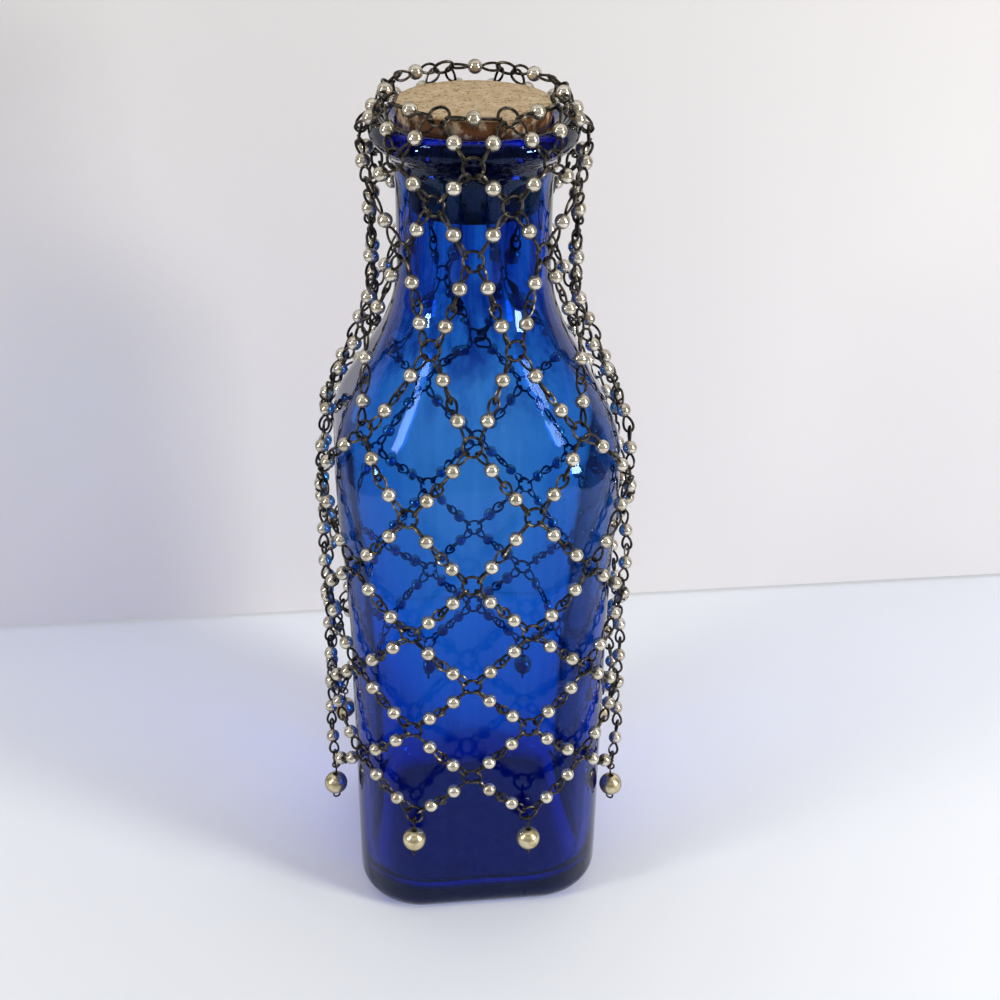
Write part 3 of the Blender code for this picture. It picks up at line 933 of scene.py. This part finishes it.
    def inner_profile(self) -> list[Level]:
        """Outline of the inside.

        Returns:
            Half width, corner radius and height of each level, from the mouth down to the floor.
        """
        levels = self.mouth_profile()
        ends = (self.neck_height, self.shoulder_height, self.body_height, self.floor + self.inner_heel)
        for height in climb(self.bore_height, ends, self.inner_bands):
            half, corner = self.outer_level(height)
            wall = smooth_table(self.walls, height)
            inner = max(half - wall, self.bore_radius)
            drop = wall * self.slope_share * (height > self.body_height)
            levels.append((inner, min(inner, self.inner_corner(half, corner, wall)), height - drop))
        wall = smooth_table(self.walls, self.floor)
        half = self.width / 2 - wall
        corner = self.inner_corner(self.width / 2, self.corner, wall)
        for sine, cosine in quarter_turn(self.inner_heel_bands):
            inward = self.inner_heel * (1 - cosine)
            levels.append((half - inward, corner, self.floor + self.inner_heel * (1 - sine)))
        for share in self.floor_shares:
            flat = (half - self.inner_heel) * share
            levels.append((flat, min(corner, flat), self.floor))
        return levels

    def thickness_wave(self, angle: float, height: float) -> float:
        """Uneven thickness of the wall.

        Args:
            angle: Direction round the bottle.
            height: Height over the foot.

        Returns:
            How far the inside stands in at this place.
        """
        if height < self.floor + self.even_floor or height > self.bore_height - self.even_bore:
            return 0.0
        share = read_table(self.flute_shares, height)
        total = 0.0
        for waves, weight in ((self.waves, 1.0), (self.flutes, share)):
            for size, count, climb_rate, phase in waves:
                total += weight * size * math.sin(count * angle + climb_rate * height + phase)
        return abs(total)

    def build(self, material: bpy.types.Material) -> None:
        """Make the hollow bottle.

        Args:
            material: The glass.
        """
        bag = MeshBag()
        outer = self.outer_profile()
        loops = []
        for number, (half, corner, height) in enumerate(outer + self.inner_profile()):
            inside = number >= len(outer)
            loop = []
            for angle in full_turn(self.sides):
                radius = rounded_square_radius(half, min(corner, half), angle)
                if inside:
                    radius -= self.thickness_wave(angle, height)
                loop.append(Vector((radius * math.cos(angle), radius * math.sin(angle), height)))
            loops.append(bag.add_loop(loop))
        bag.skin(loops)
        thing = bag.build("bottle_glass", material, smooth=self.smooth)
        dress(thing, Body.BOTTLE.value, ["glass_bottle"])


@dataclass
class CorkStopper:
    """Tapered cork, sanded at its ends."""

    top: float = 0.2726
    length: float = 0.0305
    top_radius: float = 0.0226
    foot_radius: float = 0.0195
    chamfer: float = 0.0009
    chamfer_bands: int = 4
    bands: int = 24
    foot_shares: Sequence[float] = (0.25, 0.5, 0.75)
    top_shares: Sequence[float] = (0.8, 0.6, 0.4, 0.2)
    sides: int = 160
    wear: float = 0.00012
    unevenness: float = 0.00005
    seed: int = 7

    def profile(self) -> list[tuple[float, float]]:
        """Outline of the cork.

        Returns:
            Radius and height of each level, from the foot up.
        """
        foot = self.top - self.length
        levels = [(self.foot_radius * share, foot) for share in self.foot_shares]
        levels += [(self.foot_radius - self.chamfer, foot), (self.foot_radius, foot + self.chamfer)]
        for step in range(1, self.bands):
            share = step / self.bands
            levels.append((
                lerp(self.foot_radius, self.top_radius, share),
                lerp(foot + self.chamfer, self.top - self.chamfer, share)))
        for sine, cosine in quarter_turn(self.chamfer_bands, first=0):
            levels.append((
                self.top_radius - self.chamfer * (1 - cosine), self.top - self.chamfer * (1 - sine)))
        return levels + [(self.top_radius * share, self.top) for share in self.top_shares]

    def build(self, material: bpy.types.Material) -> None:
        """Make the cork.

        Args:
            material: The cork's finish.
        """
        dice = random.Random(self.seed)
        bag = MeshBag()
        loops = []
        for radius, height in self.profile():
            loop = []
            for angle in full_turn(self.sides):
                worn = radius - dice.random() * self.wear
                level = height - dice.random() * self.unevenness
                loop.append(Vector((worn * math.cos(angle), worn * math.sin(angle), level)))
            loops.append(bag.add_loop(loop))
        bag.skin(loops)
        dress(bag.build("cork_plug", material), Body.CORK.value, ["cork_stopper"])


@dataclass
class NetLayout:
    """Where the rings of the net hang on the bottle."""

    bottle: GlassBottle
    columns: int = 8
    turn: float = math.radians(-6.0)
    bead_diameter: float = 0.0040
    collar_radius: float = 0.0256
    collar_stand: float = 0.0054
    collar_tilt: float = 0.0024
    collar_lean: float = math.radians(46)
    hem_height: float = 0.0505
    slack: float = 0.0022
    hem_flare: float = 0.0013
    flare_rise: float = 0.0345
    spread_drop: float = 0.006
    spread_overhang: float = 0.015
    reach_step: float = 0.002
    # Height of each row, as a share of the way from the hem up to the collar.
    row_shares: Sequence[float] = (
        1.0, 0.950, 0.900, 0.829, 0.713, 0.601, 0.505, 0.404, 0.321, 0.236, 0.157, 0.076, 0.0)
    # How far the columns of each row crowd towards the front and the back.
    squeeze_shares: Sequence[float] = (
        0.06, 0.16, 0.16, 0.14, 0.10, 0.06, 0.06, 0.06, 0.06, 0.06, 0.06, 0.06, 0.06)
    # Share of the way down from the lip against the share of the net's spread.
    spread_shares: Table = (
        (0.0, 0.0), (0.09, -0.02), (0.20, -0.13), (0.30, -0.15), (0.38, -0.06), (0.46, 0.10), (0.54, 0.29),
        (0.64, 0.55), (0.75, 0.82), (0.86, 0.98), (1.0, 1.0))

    def glass_reach(self, height: float) -> tuple[float, float]:
        """Room that the glass takes beside a bead, or up to the neck above it.

        Args:
            height: Height of the bead.

        Returns:
            Widest half width and widest corner reach.
        """
        bead = self.bead_diameter / 2
        heights = [height - bead, height + bead]
        count = int(max(0.0, self.bottle.neck_height - height + bead) / self.reach_step)
        heights += [height - bead + self.reach_step * index for index in range(count)]
        levels = [self.bottle.outer_level(max(0.0, level)) for level in heights]
        return max(level[0] for level in levels), max(corner_reach(*level) for level in levels)

    def net_half(self, height: float) -> float:
        """Half width of the net's bead line.

        Args:
            height: Height at which it is taken.

        Returns:
            The half width in metres.
        """
        clearance = self.bead_diameter / 2 + GAP
        neck = self.bottle.lip_diameter / 2 + clearance
        body = self.bottle.shoulder_width / 2 + clearance + self.slack
        top = self.bottle.lip_top - self.spread_drop
        foot = self.bottle.shoulder_height - self.spread_overhang
        half = lerp(neck, body, smooth_table(self.spread_shares, (top - height) / (top - foot)))
        flare = (self.hem_height + self.flare_rise - height) / self.flare_rise
        return half + self.hem_flare * min(1.0, max(0.0, flare))

    def net_point(self, angle: float, height: float) -> Vector:
        """Point of the net's surface.

        Args:
            angle: Direction from the front towards +X.
            height: Height of the point.

        Returns:
            The point in metres.
        """
        clearance = self.bead_diameter / 2 + GAP
        glass_half, glass_corner = self.glass_reach(height)
        half = max(self.net_half(height), glass_half + clearance)
        reach = max(half, glass_corner + clearance)
        return around(angle, rounded_square_radius(half, corner_for_reach(half, reach), angle), height)

    def row_offset(self, row: int) -> float:
        """Every second row of rings is half a column round from the row above."""
        return 0.5 if row % 2 == 0 else 0.0

    def row_angle(self, row: int, column: float) -> float:
        """Direction of a ring: columns crowd a little towards the front and the back."""
        even = 2 * math.pi * column / self.columns
        return even - self.squeeze_shares[row] * math.sin(2 * even) / 2 + self.turn

    def row_height(self, row: int, angle: float) -> float:
        """Height of a row of rings. The collar climbs towards the back.

        Args:
            row: Number of the row, with the collar as 0.
            angle: Direction from the front towards +X.

        Returns:
            The height in metres.
        """
        height = lerp(self.hem_height, self.bottle.lip_top + self.collar_stand, self.row_shares[row])
        if row == 0:
            height += self.collar_tilt * (1 - math.cos(angle)) / 2
        return height

    def surface_point(self, row: int, column: float, step: float) -> Vector:
        """Point on the net's surface half way between two rings.

        Args:
            row: Row of the lower ring.
            column: Column of the lower ring.
            step: Half a column to the upper ring, right or left.

        Returns:
            The point in metres.
        """
        angle_a = self.row_angle(row - 1, column + step)
        angle_b = self.row_angle(row, column)
        height = lerp(self.row_height(row - 1, angle_a), self.row_height(row, angle_b), 0.5)
        return self.net_point(lerp(angle_a, angle_b, 0.5), height)

    def collar_point(self, angle: float) -> Vector:
        """Point of the collar's middle line."""
        return around(angle, self.collar_radius, self.row_height(0, angle))

    def ring_frame(self, row: int, column: float) -> tuple[Vector, Vector, Vector, Vector]:
        """Place and plane of a ring.

        Args:
            row: Number of the row, with the collar as 0.
            column: Column of the ring.

        Returns:
            Its centre, and its side, up and out directions.
        """
        angle = self.row_angle(row, column)
        if row == 0:
            side = Vector((math.cos(angle), math.sin(angle), 0))
            lean = self.collar_lean
            out = around(angle, 1.0, 0) * math.cos(lean) + Vector((0, 0, math.sin(lean)))
            return self.collar_point(angle), side, out.cross(side), out
        height = self.row_height(row, angle)
        turn_step = self.bead_diameter / self.collar_radius
        side = self.net_point(angle + turn_step, height) - self.net_point(angle - turn_step, height)
        rise = self.net_point(angle, height + self.bead_diameter) - self.net_point(
            angle, height - self.bead_diameter)
        side.normalize()
        out = side.cross(rise).normalized()
        return self.net_point(angle, height), side, out.cross(side), out


@dataclass
class WireWork:
    """Rings, eyes and bead links, bent from round wire."""

    wire: float = 0.00045
    wire_sides: int = 8
    ring_radius: float = 0.0029
    ring_steps: int = 32
    seam_degrees: float = 1.5
    # Share of the wire's radius by which the ends of a ring are sprung apart.
    seam_spring: float = 0.5
    eye_wire: float = 0.00041
    eye_wire_sides: int = 6
    eye_half_width: float = 0.00180
    eye_steps: int = 20
    # Share of its full width that an eye has at its middle, and what it gains towards its tip and loses
    # towards its bead.
    eye_taper: Range = (0.80, 0.20)
    bead_radius: float = 0.00222
    bead_bore: float = 0.00062
    bead_sides: int = 16
    bead_rows: int = 9
    # Share of a bead's radius at which its eyes begin.
    eye_start: float = 0.94

    def add_ring(self, bag: MeshBag, centre: Vector, side: Vector, up: Vector, seam: float) -> None:
        """Add a jump ring: one turn of wire with a fine seam.

        Args:
            bag: Mesh that takes it.
            centre: Its centre.
            side: One direction in its plane.
            up: The other direction in its plane.
            seam: Angle of its seam.
        """
        out = side.cross(up)
        first = math.radians(self.seam_degrees)
        last = math.radians(360 - self.seam_degrees)
        path = []
        for step in range(self.ring_steps + 1):
            share = step / self.ring_steps
            turn = seam + lerp(first, last, share)
            ray = side * math.cos(turn) + up * math.sin(turn)
            lift = self.wire * self.seam_spring * (share - 0.5)
            path.append(centre + ray * self.ring_radius + out * lift)
        bag.add_tube(path, self.wire, self.wire_sides, False)

    def add_eye(self, bag: MeshBag, tip: Vector, base: Vector, across: Vector) -> None:
        """Add a wire eye: a loop, narrower where it runs into its bead.

        Args:
            bag: Mesh that takes it.
            tip: Middle of the wire at the far end of the eye.
            base: Where the eye meets its bead.
            across: Direction across the eye in its plane.
        """
        centre = (tip + base) / 2
        reach = (tip - base) / 2
        even, swell = self.eye_taper
        path = []
        for turn in full_turn(self.eye_steps):
            half_width = self.eye_half_width * (even + swell * math.cos(turn))
            path.append(centre + reach * math.cos(turn) + across * (half_width * math.sin(turn)))
        bag.add_tube(path, self.eye_wire, self.eye_wire_sides, True)

    def add_link(
            self, wires: MeshBag, beads: MeshBag, start: Vector, end: Vector, out: Vector,
            start_twist: float, end_twist: float) -> None:
        """Add one bead on its wire, with an eye at each end.

        Args:
            wires: Mesh that takes the wire.
            beads: Mesh that takes the bead.
            start: Middle of the wire that the first eye goes round.
            end: Middle of the wire that the second eye goes round.
            out: Direction away from the bottle.
            start_twist: Degrees that the first eye is turned out of the net's surface.
            end_twist: Degrees that the second eye is turned out of the net's surface.
        """
        along = (end - start).normalized()
        normal = (out - along * out.dot(along)).normalized()
        across = along.cross(normal)
        reach = self.wire + self.eye_wire
        middle = (start + end) / 2
        face = self.bead_radius * self.eye_start
        for tip, sign, degrees in (
                (start - along * reach, -1, start_twist), (end + along * reach, 1, end_twist)):
            twist = math.radians(degrees)
            spread = across * math.cos(twist) + normal * math.sin(twist)
            self.add_eye(wires, tip, middle + along * (face * sign), spread)
        beads.add_bead(
            middle, along, self.bead_radius, self.bead_bore, self.bead_sides, self.bead_rows)


@dataclass
class BeadNet:
    """Collar, rows of rings and the bead links between them. Angles are in degrees."""

    layout: NetLayout
    wirework: WireWork
    wire_finish: bpy.types.Material
    bead_finish: bpy.types.Material
    single_rows: int = 3
    last_row: int = 12
    seed: int = 11
    # Share of the collar's bow that a link's ends follow.
    bow_share: float = 0.6
    # Where a link holds on to a ring, from the ring's lowest and highest point.
    upper_spread: float = 42.0
    lower_spread: float = 48.0
    # How far the middle of a pair sags, and how far it may stand out.
    sag: float = 0.0004
    stand_range: Range = (0.0, 0.0004)
    # Ranges for the small differences between rings, ports and eyes.
    seam_range: Range = (0.0, 6.0)
    tilt_range: Range = (-14.0, 14.0)
    port_range: Range = (-6.0, 6.0)
    collar_eye_range: Range = (50.0, 90.0)
    open_eye_range: Range = (38.0, 62.0)
    edge_eye_range: Range = (70.0, 95.0)
    pair_upper_range: Range = (68.0, 100.0)
    pair_lower_range: Range = (-22.0, 22.0)

    def port(self, row: int, column: float, degrees: float) -> tuple[Vector, Vector]:
        """Place on a ring's wire.

        Args:
            row: Row of the ring.
            column: Column of the ring.
            degrees: Angle in the ring's plane.

        Returns:
            The middle of its wire there, and the ring's out direction.
        """
        centre, side, up, out = self.layout.ring_frame(row, column)
        turn = math.radians(degrees)
        return centre + (side * math.cos(turn) + up * math.sin(turn)) * self.wirework.ring_radius, out

    def dress_pair(
            self, wires: MeshBag, wire_name: str, beads: MeshBag, bead_name: str, node: str) -> None:
        """Make the wire and the beads that stand for one solid.

        Args:
            wires: Mesh of the wire.
            wire_name: Name of its piece.
            beads: Mesh of the beads.
            bead_name: Name of their piece.
            node: Solid that they stand for.
        """
        dress(wires.build(wire_name, self.wire_finish), Body.NET.value, [node])
        dress(beads.build(bead_name, self.bead_finish), Body.NET.value, [node])

    def build_collar(self) -> None:
        """Make the rings and bead links round the cork."""
        dice = random.Random(self.seed)
        offset = self.layout.row_offset(0)
        for index in range(self.layout.columns):
            bag = MeshBag()
            centre, side, up, _ = self.layout.ring_frame(0, index + offset)
            self.wirework.add_ring(bag, centre, side, up, dice.uniform(*self.seam_range))
            thing = bag.build(f"collar_hoop_{index + 1}", self.wire_finish)
            dress(thing, Body.NET.value, [f"collar_ring_{index + 1}"])
        for index in range(self.layout.columns):
            wires = MeshBag()
            beads = MeshBag()
            start, out_a = self.port(0, index + offset, 0)
            end, out_b = self.port(0, index + 1 + offset, 180)
            bow = self.layout.collar_point(self.layout.row_angle(0, index + 1))
            shift = (bow - (start + end) / 2) * self.bow_share
            self.wirework.add_link(
                wires, beads, start + shift, end + shift, (out_a + out_b).normalized(),
                dice.uniform(*self.collar_eye_range), dice.uniform(*self.collar_eye_range))
            self.dress_pair(
                wires, f"collar_eyes_{index + 1}", beads, f"collar_bead_{index + 1}",
                f"collar_link_{index + 1}")

    def add_side(
            self, wires: MeshBag, beads: MeshBag, row: int, column: float, step: float,
            dice: random.Random) -> None:
        """Add the link or pair of links between a ring and one ring of the row above.

        Args:
            wires: Mesh that takes the wire.
            beads: Mesh that takes the beads.
            row: Row of the lower ring.
            column: Column of the lower ring.
            step: Half a column to the upper ring, right or left.
            dice: Source of the small differences between links.
        """
        sign = 1 if step > 0 else -1
        upper = -90 - self.upper_spread * sign + dice.uniform(*self.port_range)
        start, out_a = self.port(row - 1, column + step, upper)
        lower = 90 - self.lower_spread * sign + dice.uniform(*self.port_range)
        end, out_b = self.port(row, column, lower)
        open_eye = dice.uniform(*self.open_eye_range) * sign
        edge_eye = dice.uniform(*self.edge_eye_range)
        out = (out_a + out_b).normalized()
        if row <= self.single_rows:
            self.wirework.add_link(wires, beads, start, end, out, open_eye, edge_eye)
            return
        joint = (start + end) / 2
        joint += out * (self.layout.surface_point(row, column, step) - joint).dot(out)
        joint += DOWN * self.sag + out * dice.uniform(*self.stand_range)
        self.wirework.add_link(
            wires, beads, start, joint, out_a, open_eye, dice.uniform(*self.pair_upper_range))
        self.wirework.add_link(
            wires, beads, joint, end, out_b, dice.uniform(*self.pair_lower_range), edge_eye)

    def build_row(self, row: int) -> None:
        """Make one row of rings and the links that hang them from the row above.

        Args:
            row: Number of the row, from 1 under the collar to 12 at the hem.
        """
        dice = random.Random(self.seed + row)
        wires = MeshBag()
        beads = MeshBag()
        offset = self.layout.row_offset(row)
        for index in range(self.layout.columns):
            column = index + offset
            centre, side, up, _ = self.layout.ring_frame(row, column)
            tilt = Matrix.Rotation(math.radians(dice.uniform(*self.tilt_range)), 3, side)
            self.wirework.add_ring(wires, centre, side, tilt @ up, dice.uniform(*self.seam_range))
            self.add_side(wires, beads, row, column, 0.5, dice)
            self.add_side(wires, beads, row, column, -0.5, dice)
        self.dress_pair(
            wires, f"row_{row:02d}_wire", beads, f"row_{row:02d}_beads", f"net_row_{row:02d}")

    def build(self) -> None:
        """Make the whole net but its drops."""
        self.build_collar()
        for row in range(1, self.last_row + 1):
            self.build_row(row)


@dataclass
class HemDrop:
    """Large bead that swings from a hem ring."""

    net: BeadNet
    number: int
    bead_finish: bpy.types.Material
    # Radius and sides of the solid hem ring, on whose lowest wire the hinge lies.
    hinge_radius: float = 0.0030
    hinge_sides: int = 6
    radius: float = 0.0039
    bore: float = 0.0010
    sides: int = 40
    rows: int = 24
    fall: float = 0.0080
    # How far the bead stands out, so that it clears the glass at its inward limit.
    stand: float = 0.0004
    wire: float = 0.00032
    wire_sides: int = 8
    top_eye: float = 0.001272
    low_eye: float = 0.00108
    low_eye_drop: float = 0.0014
    stem_start: float = 0.00124
    eye_steps: int = 24

    def add_round_eye(self, wires: MeshBag, centre: Vector, radius: float, out: Vector) -> None:
        """Add a round eye that stands square to the hem.

        Args:
            wires: Mesh that takes it.
            centre: Its centre.
            radius: Radius of its middle line.
            out: Level direction away from the bottle.
        """
        path = [
            centre + (out * math.sin(turn) - DOWN * math.cos(turn)) * radius
            for turn in full_turn(self.eye_steps)]
        wires.add_tube(path, self.wire, self.wire_sides, True)

    def build(self) -> None:
        """Make the drop's wire and bead."""
        row = self.net.last_row
        column = self.number - 1 + self.net.layout.row_offset(row)
        centre, _, up, out = self.net.layout.ring_frame(row, column)
        pivot = centre - up * (self.hinge_radius * math.cos(math.pi / self.hinge_sides))
        level_out = Vector((out.x, out.y, 0)).normalized()
        middle = pivot + DOWN * self.fall + level_out * self.stand
        wires = MeshBag()
        self.add_round_eye(wires, pivot, self.top_eye, level_out)
        self.add_round_eye(
            wires, middle + DOWN * (self.radius + self.low_eye_drop), self.low_eye, level_out)
        stem = [pivot + DOWN * self.stem_start, middle, middle + DOWN * (self.radius + self.wire)]
        wires.add_tube(stem, self.wire, self.wire_sides, False)
        beads = MeshBag()
        beads.add_bead(middle, -DOWN, self.radius, self.bore, self.sides, self.rows)
        body = f"drop_{self.number}"
        eyes = wires.build(f"drop_eye_{self.number}", self.net.wire_finish)
        dress(eyes, body, [f"drop_wire_{self.number}"])
        ball = beads.build(f"drop_ball_{self.number}", self.bead_finish)
        dress(ball, body, [f"drop_bead_{self.number}"])


@dataclass(frozen=True)
class Lamp:
    """Rectangular lamp: place and aim in the photograph's frame, width and height, and power in watts."""

    name: str
    place: Place
    aim: Place
    size: tuple[float, float]
    watts: float

    def hang(self, turn: Matrix) -> None:
        """Hang the lamp in the studio.

        Args:
            turn: Rotation from the photograph's frame to the bottle's.
        """
        data = bpy.data.lights.new(self.name, "AREA")
        data.shape = "RECTANGLE"
        data.size, data.size_y = self.size
        data.energy = self.watts
        lamp = bpy.data.objects.new(self.name, data)
        start = Vector(self.place)
        facing = (Vector(self.aim) - start).to_track_quat("-Z", "Y").to_matrix().to_4x4()
        lamp.matrix_world = turn @ Matrix.Translation(start) @ facing
        bpy.context.scene.collection.objects.link(lamp)


@dataclass
class Studio:
    """Floor, wall, lamps and camera, placed in the photograph's frame."""

    photo_turn: float = math.radians(6.87)
    camera_place: Place = (0.0087, -0.4052, 0.3726)
    pitch: float = math.radians(29.63)
    roll: float = math.radians(0.74)
    focal_pixels: float = 1421.3
    frame_pixels: float = 1000.0
    sensor: float = 36.0
    clip: float = 0.01
    # Ends of the wall's foot as the photograph shows them, and how far the wall runs on past them.
    wall_left: Place = (-0.218, 0.126, 0.0)
    wall_right: Place = (0.254, 0.182, 0.0)
    wall_overrun: float = 0.16
    wall_lift: float = 0.0011
    wall_height: float = 0.80
    floor_front: float = -0.62
    floor_behind: float = 0.40
    floor_colour: str = "#E4E7ED"
    wall_colour: str = "#DAD7D7"
    world_colour: str = "#A8A59C"
    world_strength: float = 0.68
    lamps: Sequence[Lamp] = (
        Lamp("window_right", (0.90, -0.48, 0.88), (0.0, 0.0, 0.12), (0.25, 0.29), 3.3),
        Lamp("window_left", (-0.78, -0.55, 0.85), (0.0, 0.0, 0.12), (0.17, 0.23), 2.0),
        Lamp("low_right", (0.66, -0.352, 0.277), (0.0, 0.0, 0.12), (0.14, 0.157), 3.6),
        Lamp("low_left", (-0.66, -0.352, 0.277), (0.0, 0.0, 0.12), (0.10, 0.107), 1.8),
        Lamp("ceiling", (0.1, -0.10, 1.55), (0.1, -0.10, 0.0), (2.8, 0.9), 5.2),
        Lamp("room_front", (0.0, -1.40, 1.15), (0.0, 0.1, 0.15), (1.8, 0.7), 1.2))

    def turn(self) -> Matrix:
        """Rotation from the photograph's frame to the bottle's."""
        return Matrix.Rotation(-self.photo_turn, 4, "Z")

    def add_camera(self) -> None:
        """Set the camera at the photograph's viewing angle."""
        data = bpy.data.cameras.new("camera")
        data.sensor_width = self.sensor
        data.lens = self.focal_pixels / self.frame_pixels * data.sensor_width
        data.clip_start = self.clip
        camera = bpy.data.objects.new("camera", data)
        aim = Matrix.Rotation(math.pi / 2 - self.pitch, 4, "X") @ Matrix.Rotation(self.roll, 4, "Z")
        camera.matrix_world = self.turn() @ Matrix.Translation(self.camera_place) @ aim
        bpy.context.scene.collection.objects.link(camera)
        bpy.context.scene.camera = camera

    def add_board(self, name: str, corners: Sequence[Vector], material: bpy.types.Material) -> None:
        """Add a flat four-cornered board to the stage.

        Args:
            name: Name of the board.
            corners: Its corners, in the photograph's frame.
            material: Its paint.
        """
        turn = self.turn()
        bag = MeshBag()
        bag.faces.append(tuple(bag.add_loop(turn @ corner for corner in corners)))
        board = bag.build(name, material)

    def add_stage(self) -> None:
        """Lay the floor and stand the wall behind it."""
        floor = PaintedBoard("pale_floor", self.floor_colour).build()
        wall = PaintedBoard("pale_wall", self.wall_colour, one_sided=True).build()
        left = Vector(self.wall_left)
        right = Vector(self.wall_right)
        run = (right - left).normalized() * self.wall_overrun
        left -= run
        right += run
        front_a = Vector((left.x, self.floor_front, 0))
        front_b = Vector((right.x, self.floor_front, 0))
        behind = Vector((0, self.floor_behind, 0))
        self.add_board("floor_board", (front_a, front_b, right + behind, left + behind), floor)
        foot = Vector((0, 0, self.wall_lift))
        head = Vector((0, 0, self.wall_lift + self.wall_height))
        self.add_board("wall_board", (left + foot, right + foot, right + head, left + head), wall)

    def add_world(self) -> None:
        """Set an even pale surround."""
        world = bpy.data.worlds.new("surround")
        world.use_nodes = True
        set_inputs(world.node_tree, world.node_tree.nodes["Background"], {
            "Color": linear(self.world_colour), "Strength": self.world_strength})
        bpy.context.scene.world = world

    def build(self) -> None:
        """Make the studio."""
        self.add_camera()
        self.add_stage()
        self.add_world()
        for lamp in self.lamps:
            lamp.hang(self.turn())
        bpy.context.scene.view_settings.view_transform = "Standard"


def main() -> None:
    """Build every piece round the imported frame."""
    logging.basicConfig(level=logging.INFO, format="%(name)s: %(message)s")
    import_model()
    Studio().build()
    glass = CobaltGlass().build()
    stopper = CorkStopper()
    cork = PressedCork(stopper.top).build()
    wire = AntiqueWire().build()
    silver = PlatedBead().build()
    gold = GildedBead().build()
    bottle = GlassBottle()
    bottle.build(glass)
    stopper.build(cork)
    net = BeadNet(NetLayout(bottle), WireWork(), wire, silver)
    net.build()
    for number in range(1, net.layout.columns + 1):
        HemDrop(net, number, gold).build()


if __name__ == "__main__":
    main()
